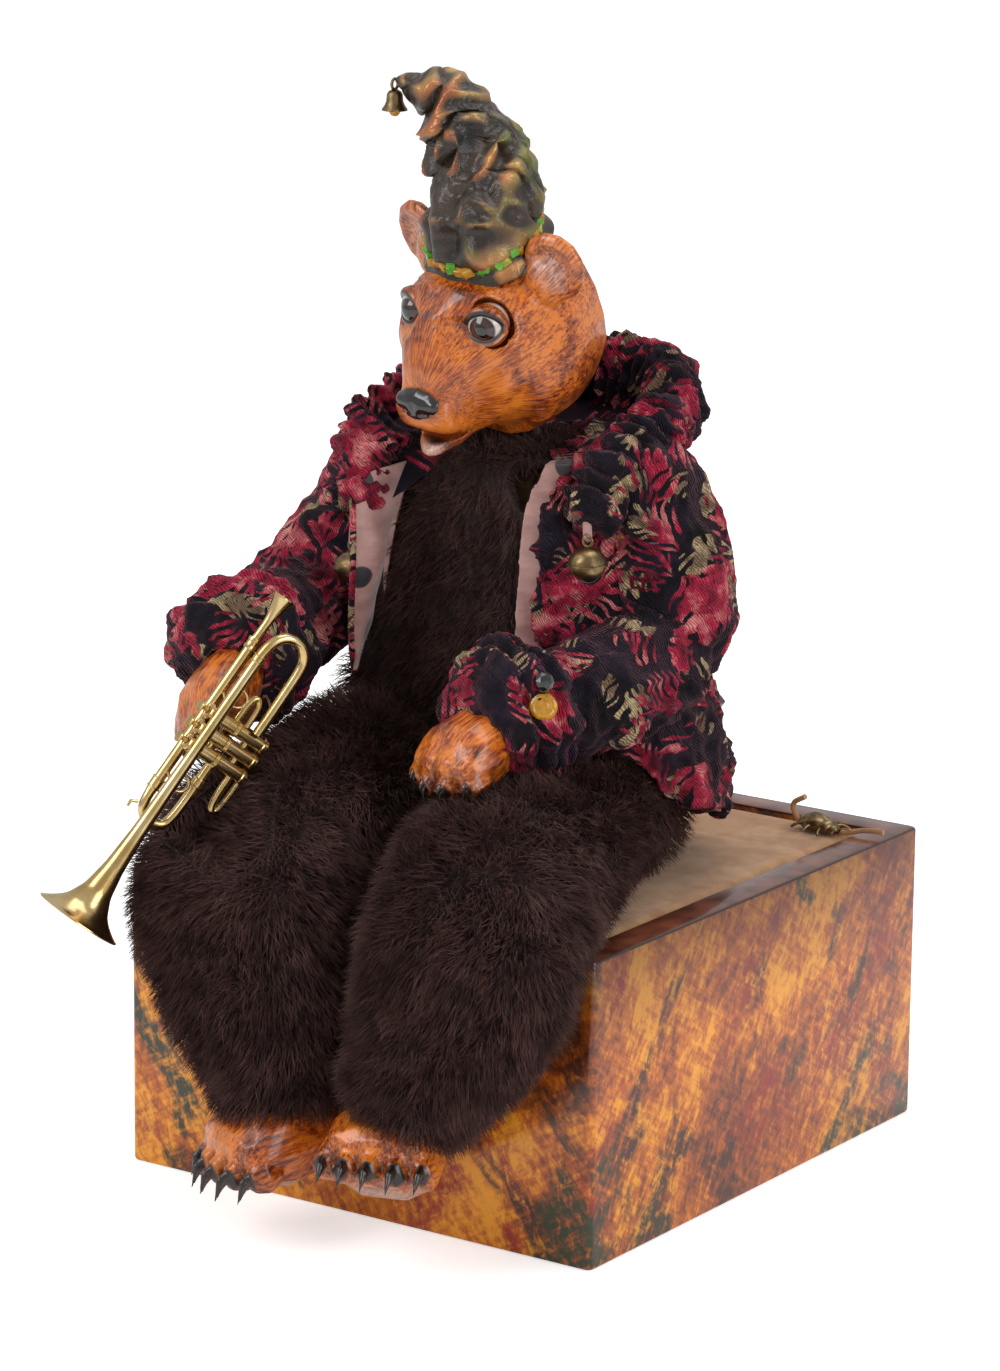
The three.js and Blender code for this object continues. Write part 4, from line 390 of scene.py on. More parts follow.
def sweep(name: str, points: list, radius: float, place: Matrix | None = None, sides: int = 4,
          radii: list[float] | None = None) -> bpy.types.Object:
    """Returns a round wire or tube along points, as a mesh.

    Args:
        name: The piece's name.
        points: Places in millimetres.
        radius: Half its thickness in millimetres.
        place: Where its frame stands.
        sides: Roundness, in quarters of its outline.
        radii: Shares of the radius at each point.
    """
    curve = bpy.data.curves.new(name, "CURVE")
    curve.dimensions = "3D"
    curve.bevel_depth = radius * MM
    curve.bevel_resolution = sides
    curve.use_fill_caps = True
    curve.resolution_u = 8
    spline = curve.splines.new("NURBS" if len(points) > 3 else "POLY")
    spline.points.add(len(points) - 1)
    for i, (knot, at) in enumerate(zip(spline.points, points)):
        knot.co = (*(Vector(at) * MM), 1)
        knot.radius = radii[i] if radii else 1
    if spline.type == "NURBS":
        spline.order_u = 4
        spline.use_endpoint_u = True
    take(linked(name, curve))
    bpy.ops.object.convert(target="MESH")
    obj = bpy.context.object
    smooth_shade(obj, 50)
    return settle(obj, place)


def turned(name: str, profile: list[tuple[float, float]], place: Matrix, steps: int = 48,
           angle: float = 40) -> bpy.types.Object:
    """Returns a form spun about its own Z axis.

    Args:
        name: The piece's name.
        profile: Pairs of radius and height in millimetres.
        place: Where its frame stands.
        steps: Faces round it.
        angle: Edges sharper than this stay crisp.
    """
    deselect()
    obj = from_arrays(name, np.array([[r * MM, 0, z * MM] for r, z in profile]), [])
    take(obj)
    obj.data.edges.add(len(profile) - 1)
    obj.data.edges.foreach_set("vertices", [n for i in range(len(profile) - 1) for n in (i, i + 1)])
    bpy.ops.object.mode_set(mode="EDIT")
    bpy.ops.mesh.select_all(action="SELECT")
    bpy.ops.mesh.spin(steps=steps, angle=2 * math.pi, center=(0, 0, 0), axis=(0, 0, 1))
    bpy.ops.mesh.select_all(action="SELECT")
    bpy.ops.mesh.remove_doubles(threshold=MERGE_DISTANCE)
    bpy.ops.mesh.normals_make_consistent(inside=False)
    bpy.ops.object.mode_set(mode="OBJECT")
    smooth_shade(obj, angle)
    return settle(obj, place)


def joined(name: str, pieces: list[bpy.types.Object]) -> bpy.types.Object:
    """Returns the pieces as one object.

    Args:
        name: The new name.
        pieces: The objects to join.
    """
    deselect()
    for piece in pieces:
        piece.select_set(True)
    bpy.context.view_layer.objects.active = pieces[0]
    bpy.ops.object.join()
    pieces[0].name = name
    pieces[0].data.name = name
    return pieces[0]


# Materials


class Graph:
    """A material's nodes, written down in few words."""

    def __init__(self, name: str) -> None:
        """Starts an empty material with a Principled shader.

        Args:
            name: The material's name.
        """
        self.material = bpy.data.materials.new(name)
        self.material.use_nodes = True
        self.tree = self.material.node_tree
        self.tree.nodes.clear()
        self.out = self.tree.nodes.new("ShaderNodeOutputMaterial")
        self.shader = self.tree.nodes.new("ShaderNodeBsdfPrincipled")
        self.tree.links.new(self.shader.outputs[0], self.out.inputs[0])

    def feed(self, socket: bpy.types.NodeSocket, value: object) -> None:
        """Links a socket to another, or sets its value."""
        if isinstance(value, bpy.types.NodeSocket):
            self.tree.links.new(value, socket)
        elif isinstance(value, (tuple, list)) and len(value) == 3 and socket.type == "RGBA":
            socket.default_value = (*value, 1)
        else:
            socket.default_value = value

    def set(self, **values: object) -> None:
        """Sets the shader's sockets by name, with _ for each space."""
        for name, value in values.items():
            self.feed(self.shader.inputs[name.replace("_", " ")], value)

    def node(self, kind: str, inputs: dict | None = None, output: int = 0,
             **settings: object) -> bpy.types.NodeSocket:
        """Adds a node and returns one of its outputs.

        Args:
            kind: The node's type without its prefix.
            inputs: Values or sockets by input name or number.
            output: Which output to return.
            settings: The node's own properties.
        """
        made = self.tree.nodes.new("ShaderNode" + kind)
        for name, value in settings.items():
            setattr(made, name, value)
        for key, value in (inputs or {}).items():
            self.feed(made.inputs[key], value)
        return made.outputs[output]

    def place(self, scale: Triple = (1, 1, 1), turn: Triple = (0, 0, 0),
              layer: str = "") -> bpy.types.NodeSocket:
        """Returns object coordinates, or a painted layer, stretched and turned.

        Args:
            scale: Repeats per metre along each turned axis.
            turn: Turn in degrees.
            layer: The painted layer to read instead.
        """
        if layer:
            base = self.node("Attribute", output=1, attribute_name=layer)
        else:
            base = self.node("TexCoord", output=3)
        turned_place = self.node("Mapping",
                                 {"Vector": base, "Rotation": tuple(math.radians(t) for t in turn)})
        return self.node("Mapping", {"Vector": turned_place, "Scale": scale})

    def layer(self, name: str) -> bpy.types.NodeSocket:
        """Returns a painted single-number layer."""
        return self.node("Attribute", output=2, attribute_name=name)

    def noise(self, place: bpy.types.NodeSocket, scale: float = 1.0, detail: float = 4.0, rough: float = 0.55,
              bend: float = 0.0) -> bpy.types.NodeSocket:
        """Returns cloudy noise.

        Args:
            place: Where it is read.
            scale: Lumps per unit.
            detail: Layers of detail.
            rough: How strong the fine layers are.
            bend: How far it is distorted.
        """
        return self.node("TexNoise", {"Vector": place, "Scale": scale, "Detail": detail, "Roughness": rough,
                                      "Distortion": bend})

    def cells(self, place: bpy.types.NodeSocket, scale: float, output: int = 0) -> bpy.types.NodeSocket:
        """Returns a pattern of cells.

        Args:
            place: Where it is read.
            scale: Cells per unit.
            output: 0 for the distance, 1 for a random colour, 2 for the cell's middle.
        """
        return self.node("TexVoronoi", {"Vector": place, "Scale": scale}, output=output)

    def ramp(self, factor: bpy.types.NodeSocket, *stops: tuple) -> bpy.types.NodeSocket:
        """Returns colours along a factor.

        Args:
            factor: The number to colour.
            stops: Pairs of position and colour or grey level.
        """
        made = self.tree.nodes.new("ShaderNodeValToRGB")
        elements = made.color_ramp.elements
        while len(elements) < len(stops):
            elements.new(0.5)
        for element, (at, colour) in zip(elements, stops):
            element.position = at
            element.color = (*colour, 1) if isinstance(colour, tuple) else (colour, colour, colour, 1)
        self.tree.links.new(factor, made.inputs[0])
        return made.outputs[0]

    def mix(self, factor: object, a: object, b: object, blend: str = "MIX") -> bpy.types.NodeSocket:
        """Returns two colours mixed.

        Args:
            factor: How much of the second.
            a: The first colour.
            b: The second colour.
            blend: How they are combined.
        """
        made = self.tree.nodes.new("ShaderNodeMix")
        made.data_type = "RGBA"
        made.blend_type = blend
        self.feed(made.inputs[0], factor)
        self.feed(made.inputs[6], a)
        self.feed(made.inputs[7], b)
        return made.outputs[2]

    def sum(self, kind: str, a: object, b: object = 0.0) -> bpy.types.NodeSocket:
        """Returns the result of one sum.

        Args:
            kind: The operation's name.
            a: The first number.
            b: The second number.
        """
        return self.node("Math", {0: a, 1: b}, operation=kind)

    def bump(self, height: bpy.types.NodeSocket, depth: float, strength: float = 1.0) -> None:
        """Roughens the shader's surface.

        Args:
            height: The relief, from 0 to 1.
            depth: How deep it is, in metres.
            strength: How much of it is used.
        """
        made = self.tree.nodes.new("ShaderNodeBump")
        self.feed(made.inputs["Height"], height)
        made.inputs["Distance"].default_value = depth
        made.inputs["Strength"].default_value = strength
        previous = self.shader.inputs["Normal"]
        if previous.is_linked:
            self.tree.links.new(previous.links[0].from_socket, made.inputs["Normal"])
        self.tree.links.new(made.outputs[0], previous)


def srgb(red: int, green: int, blue: int) -> Triple:
    """Returns a screen colour as linear shares."""
    return tuple(((c / 255 + 0.055) / 1.055) ** 2.4 if c > 10 else c / 255 / 12.92
                 for c in (red, green, blue))


@dataclass(frozen=True)
class PaintedBox:
    """Varnished paint dragged over gold in slanting streaks."""

    gold: Triple = srgb(242, 160, 26)
    orange: Triple = srgb(200, 104, 16)
    brown: Triple = srgb(146, 66, 14)
    umber: Triple = srgb(66, 30, 14)
    red: Triple = srgb(150, 30, 12)
    green: Triple = srgb(40, 50, 24)
    streak: Triple = (-0.45, 0.47, 0.76)

    def make(self) -> bpy.types.Material:
        """Returns the material."""
        g = Graph("painted_box")
        turn = Vector(self.streak).to_track_quat("X", "Z").inverted().to_euler()
        degrees = tuple(math.degrees(angle) for angle in turn)
        broad = g.place((3.4, 16, 16), degrees)
        fine = g.place((24, 230, 230), degrees)
        cross = g.place((360, 60, 60), degrees)
        swirl = g.node("TexNoise", {"Vector": broad, "Scale": 2.0, "Detail": 4.0}, output=1)
        warped = g.mix(0.1, broad, swirl)
        bristle = g.noise(fine, 1.0, 5, 0.66, 0.5)
        threads = g.noise(cross, 1.0, 3, 0.6)
        weave = g.sum("ADD", g.sum("MULTIPLY", bristle, 0.66), g.sum("MULTIPLY", threads, 0.34))
        cloud = g.noise(warped, 1.6, 5, 0.6, 0.5)
        drag = g.sum("ADD", g.sum("MULTIPLY", weave, 0.5), g.sum("MULTIPLY", cloud, 0.5))
        colour = g.ramp(drag, (0.39, self.umber), (0.45, self.brown), (0.51, self.orange), (0.575, self.gold))
        for tint, at, scale, low, high in ((self.red, (7.3, 1.1, 4.4), 1.15, 0.51, 0.6),
                                           (self.umber, (3.1, 7.7, 1.3), 1.3, 0.55, 0.62),
                                           (self.green, (9.3, 2.2, 5.1), 0.95, 0.555, 0.6)):
            place = g.node("Mapping", {"Vector": warped, "Location": at})
            patch = g.ramp(g.noise(place, scale, 6, 0.62, 0.7), (low, 0.0), (high, 1.0))
            colour = g.mix(g.sum("MULTIPLY", patch, g.ramp(weave, (0.46, 1.0), (0.6, 0.2))), colour, tint)
        up = g.node("SeparateXYZ", {0: g.node("NewGeometry", output=1)}, output=2)
        rail = g.ramp(up, (0.55, 0.0), (0.8, 1.0))
        edge = g.ramp(up, (0.05, 0.0), (0.3, 1.0), (0.92, 1.0), (0.99, 0.0))
        wood = g.ramp(g.noise(g.place((60, 60, 14)), 1.0, 5), (0.35, srgb(80, 36, 24)),
                      (0.7, srgb(148, 84, 58)))
        colour = g.mix(rail, colour, wood)
        g.set(Base_Color=g.mix(edge, colour, srgb(40, 18, 12)), Roughness=0.3, Coat_Weight=0.5,
              Coat_Roughness=0.12)
        g.bump(weave, 0.0003, 0.3)
        return g.material


@dataclass(frozen=True)
class PlainFinish:
    """A finish of one main colour with fine variation."""

    name: str
    light: Triple
    dark: Triple
    grain: Triple = (120, 120, 120)
    roughness: float = 0.5
    metallic: float = 0.0
    coat: float = 0.0
    relief: float = 0.0
    sheen: float = 0.0
    clear: float = 0.0
    shine: float = 0.5

    def make(self) -> bpy.types.Material:
        """Returns the material."""
        g = Graph(self.name)
        pattern = g.noise(g.place(self.grain), 1.0, 6, 0.6, 0.3)
        g.set(Base_Color=g.ramp(pattern, (0.36, self.dark), (0.64, self.light)), Metallic=self.metallic,
              Coat_Weight=self.coat, Sheen_Weight=self.sheen, Transmission_Weight=self.clear,
              Specular_IOR_Level=self.shine)
        g.set(Roughness=g.ramp(pattern, (0.3, self.roughness * 1.3), (0.7, self.roughness * 0.75)))
        if self.relief:
            g.bump(pattern, self.relief)
        return g.material


@dataclass(frozen=True)
class Velvet:
    """Crushed velvet printed with a rosy leaf pattern on navy black."""

    def make(self) -> bpy.types.Material:
        """Returns the material."""
        g = Graph("printed_velvet")
        place = g.place((1, 1, 1))
        warp = g.node("TexNoise", {"Vector": place, "Scale": 30.0, "Detail": 3.0}, output=1)
        bent = g.mix(0.02, place, warp, "ADD")
        ground = g.ramp(g.noise(bent, 30.0, 4), (0.4, srgb(10, 8, 15)), (0.62, srgb(36, 28, 44)))
        rose = g.ramp(g.noise(bent, 70.0, 4), (0.36, srgb(92, 12, 34)), (0.52, srgb(184, 38, 70)),
                      (0.66, srgb(236, 146, 142)))
        beige = g.ramp(g.noise(bent, 90.0, 2), (0.4, srgb(122, 100, 78)), (0.6, srgb(196, 172, 132)))
        yellow = g.ramp(g.noise(bent, 80.0, 2), (0.4, srgb(128, 108, 26)), (0.6, srgb(196, 168, 44)))
        printed = ground
        for tint, at, scale, half, veins in ((beige, (0.31, 0.12, 0.57), 36.0, (0.56, 0.24, 0.4), 4.2),
                                             (rose, (0.0, 0.0, 0.0), 27.0, (0.78, 0.32, 0.54), 4.6),
                                             (rose, (0.77, 0.41, 0.23), 34.0, (0.7, 0.3, 0.5), 3.8),
                                             (yellow, (0.11, 0.93, 0.37), 13.0, (0.26, 0.12, 0.2), 7.0)):
            sprig = g.node("VectorMath", {0: bent, 1: at}, operation="ADD")
            printed = g.mix(self.leaf(g, sprig, scale, half, veins), printed, tint)
        wave = {"Vector": bent, "Scale": 330.0, "Distortion": 3.0, "Detail": 2.0, "Detail Scale": 2.0}
        rib = g.node("TexWave", wave, output=1, wave_type="BANDS", bands_direction="DIAGONAL")
        crushed = g.noise(place, 260.0, 4, 0.7, 0.8)
        dark = g.ramp(g.sum("ADD", g.sum("MULTIPLY", rib, 0.5), crushed), (0.42, 0.2), (0.85, 1.0))
        g.set(Base_Color=g.mix(1.0, printed, dark, "MULTIPLY"), Roughness=0.8, Sheen_Weight=0.3,
              Sheen_Roughness=0.3, Sheen_Tint=srgb(220, 150, 160), Specular_IOR_Level=0.2)
        g.bump(g.sum("ADD", rib, crushed), 0.0009, 0.7)
        return g.material

    def leaf(self, g: "Graph", place: bpy.types.NodeSocket, scale: float, half: Triple,
             veins: float) -> bpy.types.NodeSocket:
        """Returns where a scatter of veined leaves shows.

        Args:
            g: The material's nodes.
            place: Where it is read.
            scale: Leaves per metre.
            half: Each leaf's half sizes as shares of its cell.
            veins: Veins along a leaf.
        """
        cell = g.cells(place, scale, 2)
        random = g.cells(place, scale, 1)
        local = g.node("VectorMath", {0: place, 1: cell}, operation="SUBTRACT")
        local = g.node("VectorMath", {0: local, 1: (scale,) * 3}, operation="MULTIPLY")
        angle = g.sum("MULTIPLY", g.node("SeparateXYZ", {0: random}), 2 * math.pi)
        local = g.node("VectorRotate", {"Vector": local, "Axis": (0.55, -0.8, 0.24), "Angle": angle})
        size = g.node("VectorMath", {0: local, 1: half}, operation="DIVIDE")
        inside = g.sum("SUBTRACT", 1.0, g.node("VectorMath", {0: size}, output=1, operation="LENGTH"))
        x = g.node("SeparateXYZ", {0: local}, output=0)
        y = g.sum("ABSOLUTE", g.node("SeparateXYZ", {0: local}, output=2))
        slant = g.sum("SUBTRACT", x, g.sum("MULTIPLY", y, 1.3))
        vein = g.sum("SINE", g.sum("MULTIPLY", slant, veins * 2 * math.pi))
        spine = g.ramp(y, (0.02, 1.0), (0.045, 0.0))
        shown = g.ramp(g.sum("ADD", g.sum("MULTIPLY", vein, 0.3), inside), (0.22, 0.0), (0.34, 1.0))
        edge = g.ramp(inside, (0.0, 0.0), (0.06, 1.0))
        return g.sum("MULTIPLY", edge, g.sum("MAXIMUM", shown, spine))


@dataclass(frozen=True)
class CarvedPaint:
    """Carved wood painted like fur, with fine dark hair strokes under varnish."""

    name: str = "carved_paint"
    light: Triple = srgb(220, 122, 36)
    mid: Triple = srgb(164, 72, 18)
    dark: Triple = srgb(66, 24, 9)

    def make(self) -> bpy.types.Material:
        """Returns the material."""
        g = Graph(self.name)
        hair = g.noise(g.place((700, 700, 60), layer="flow"), 1.0, 5, 0.62, 0.25)
        strand = g.noise(g.place((1500, 1500, 130), layer="flow"), 1.0, 3, 0.6, 0.2)
        patch = g.noise(g.place((1, 1, 1)), 38.0, 5, 0.62, 0.8)
        strokes = g.sum("ADD", g.sum("MULTIPLY", hair, 0.6), g.sum("MULTIPLY", strand, 0.4))
        colour = g.ramp(g.sum("ADD", g.sum("MULTIPLY", strokes, 0.6), g.sum("MULTIPLY", patch, 0.4)),
                        (0.41, self.dark), (0.475, self.mid), (0.55, self.light))
        # The shade layer darkens the paint: dark markings, and painted shade in the grooves between the toes.
        streaked = g.sum("MULTIPLY", g.layer("shade"), g.ramp(strokes, (0.42, 1.0), (0.6, 0.45)))
        colour = g.mix(streaked, colour, self.dark)
        skin = g.ramp(strand, (0.4, srgb(150, 98, 82)), (0.6, srgb(214, 172, 152)))
        colour = g.mix(g.layer("pink"), colour, skin)
        # The black layer also holds painted shade in the mouth's hollow.
        colour = g.mix(g.layer("black"), colour, srgb(26, 17, 14))
        g.set(Base_Color=colour, Roughness=0.34, Coat_Weight=0.5, Coat_Roughness=0.13)
        g.bump(strokes, 0.0003, 0.5)
        return g.material


@dataclass(frozen=True)
class RubbedLeather:
    """Charcoal leather whose ridges are rubbed with bronze and green."""

    def make(self) -> bpy.types.Material:
        """Returns the material."""
        g = Graph("rubbed_leather")
        grain = g.cells(g.place((1, 1, 1)), 900.0)
        blot = g.noise(g.place((1, 1, 1)), 40.0, 5, 0.6)
        base = g.ramp(blot, (0.35, srgb(24, 19, 17)), (0.6, srgb(62, 48, 36)))
        metal = g.ramp(g.noise(g.place((1, 1, 1)), 24.0, 3), (0.38, srgb(186, 112, 70)),
                       (0.5, srgb(196, 158, 98)), (0.62, srgb(118, 124, 60)))
        ridge = g.sum("MULTIPLY", g.ramp(g.layer("ridge"), (0.4, 0.0), (0.95, 1.0)),
                      g.ramp(blot, (0.35, 0.3), (0.6, 1.0)))
        g.set(Base_Color=g.mix(ridge, base, metal), Roughness=0.3, Metallic=g.sum("MULTIPLY", ridge, 0.6))
        g.bump(grain, 0.0003, 0.5)
        return g.material


@dataclass(frozen=True)
class EyeGlass:
    """A domed glass eye: black pupil, dark brown iris and a pale corner."""

    def make(self) -> bpy.types.Material:
        """Returns the material."""
        g = Graph("eye_glass")
        colour = g.ramp(g.layer("gaze"), (0.0, srgb(6, 4, 4)), (0.21, srgb(8, 5, 4)),
                        (0.25, srgb(66, 32, 20)), (0.38, srgb(44, 20, 14)), (0.42, srgb(10, 7, 7)),
                        (0.48, srgb(206, 196, 188)))
        g.set(Base_Color=colour, Roughness=0.05, Coat_Weight=1.0, Coat_Roughness=0.02)
        return g.material


@dataclass(frozen=True)
class DottedSatin:
    """Mauve satin lining with a few charcoal dots."""

    def make(self) -> bpy.types.Material:
        """Returns the material."""
        g = Graph("dotted_satin")
        place = g.place((1, 1, 1))
        base = g.ramp(g.noise(g.place((40, 40, 90)), 1.0, 4), (0.36, srgb(150, 108, 102)),
                      (0.64, srgb(190, 146, 138)))
        dots = g.ramp(g.cells(g.node("Mapping", {"Vector": place, "Location": (0.012, 0.004, 0.008)}), 27.0),
                      (0.19, 1.0), (0.205, 0.0))
        g.set(Base_Color=g.mix(dots, base, srgb(40, 36, 40)), Roughness=0.42, Sheen_Weight=0.4)
        g.bump(g.noise(g.place((900, 900, 200)), 1.0, 3), 0.0002, 0.4)
        return g.material


class Finish(Enum):
    """The finishes that the pieces are dressed in."""

    BOX = PaintedBox()
    PLAIN_WOOD = PlainFinish("plain_wood", srgb(205, 168, 118), srgb(168, 128, 82), (20, 140, 140), 0.6)
    DARK_WOOD = PlainFinish("dark_wood", srgb(82, 40, 24), srgb(44, 20, 12), (40, 200, 200), 0.28, coat=0.6)
    STEEL = PlainFinish("steel", srgb(170, 172, 176), srgb(120, 122, 128), (300, 300, 40), 0.35, 1.0)
    BRASS = PlainFinish("polished_brass", srgb(226, 200, 146), srgb(190, 158, 100), (60, 60, 60), 0.22, 1.0)
    OLD_BRASS = PlainFinish("aged_brass", srgb(158, 134, 94), srgb(86, 70, 50), (160, 160, 160), 0.36, 1.0,
                            relief=0.0003)
    SUEDE = PlainFinish("suede", srgb(190, 146, 104), srgb(166, 120, 82), (60, 60, 60), 0.95, sheen=0.25,
                        relief=0.0004)
    FUR = PlainFinish("fur_backing", srgb(50, 32, 28), srgb(28, 16, 14), (400, 400, 90), 0.9, relief=0.002)
    PILE = PlainFinish("fur_pile", srgb(90, 61, 55), srgb(48, 30, 27), (70, 70, 70), 0.75, shine=0.3)
    VELVET = Velvet()
    RIBBON = PlainFinish("ribbon", srgb(176, 134, 126), srgb(140, 98, 94), (40, 40, 90), 0.42, sheen=0.4)
    SATIN = DottedSatin()
    CARVED = CarvedPaint()
    LEATHER = RubbedLeather()
    BLACK_GLOSS = PlainFinish("black_gloss", srgb(26, 23, 24), srgb(12, 10, 11), (90, 90, 90), 0.16, coat=0.8)
    GREEN_GLASS = PlainFinish("green_glass", srgb(150, 236, 84), srgb(84, 196, 50), (220, 220, 220), 0.04,
                              clear=0.55)
    LIME_GLASS = PlainFinish("lime_glass", srgb(240, 242, 110), srgb(202, 214, 50), (220, 220, 220), 0.04,
                             clear=0.55)
    AMBER_GLASS = PlainFinish("amber_glass", srgb(246, 190, 60), srgb(210, 136, 24), (200, 200, 200), 0.08,
                              clear=0.45)
    EYE = EyeGlass()
    HORN = PlainFinish("claw_horn", srgb(78, 42, 24), srgb(20, 12, 10), (160, 160, 90), 0.24, coat=0.7)


_made: dict[Finish, bpy.types.Material] = {}


def dress(obj: bpy.types.Object, finish: Finish, slot: str, body: str | None = None,
          *nodes: str) -> bpy.types.Object:
    """Gives a piece its finish, body and the nodes it stands for, and returns it.

    Args:
        obj: The piece.
        finish: Its finish.
        slot: The record's material slot. Not used.
        body: The body it moves with, or None for a node of the frame.
        nodes: The nodes it replaces.
    """
    if finish not in _made:
        _made[finish] = finish.value.make()
    obj.data.materials.clear()
    obj.data.materials.append(_made[finish])
    if body:
        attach(obj, body)
    if nodes:
        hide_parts(*nodes)
    LOG.info("%s: %s", obj.name, finish.name.lower())
    return obj


# Carving


def push(points: np.ndarray, centre: Triple, reach: Triple, shift: Triple) -> np.ndarray:
    """Returns points with those near a place moved by a soft stroke.

    Args:
        points: Rows of x, y, z.
        centre: Middle of the stroke.
        reach: How far it is felt along each axis.
        shift: How far its middle moves.
    """
    away = (((points - np.array(centre)) / np.array(reach)) ** 2).sum(axis=1)
    return points + np.exp(-away)[:, None] * np.array(shift)


def mirrored(points: np.ndarray, centre: Triple, reach: Triple, shift: Triple) -> np.ndarray:
    """Returns points after the same stroke on both sides of the head."""
    for side in (-1, 1):
        points = push(points, (side * centre[0], *centre[1:]), reach, (side * shift[0], *shift[1:]))
    return points


def near(points: np.ndarray, centre: Triple, reach: Triple) -> np.ndarray:
    """Returns how close each point is to a place, from 0 to 1."""
    return np.exp(-(((points - np.array(centre)) / np.array(reach)) ** 2).sum(axis=1))


def coat_layers(obj: bpy.types.Object, flow: np.ndarray, shade: np.ndarray, pink: np.ndarray,
                black: np.ndarray) -> None:
    """Stores the layers that painted wood reads.

    Args:
        obj: The piece.
        flow: Places whose last number runs along the hair.
        shade: Where the paint is darker: dark markings, and painted shade in the grooves between the toes.
        pink: Where it is skin.
        black: Where it is black, and painted shade in the mouth's hollow.
    """
    paint(obj, "flow", flow)
    paint(obj, "shade", np.clip(shade, 0, 1))
    paint(obj, "pink", np.clip(pink, 0, 1))
    paint(obj, "black", np.clip(black, 0, 1))


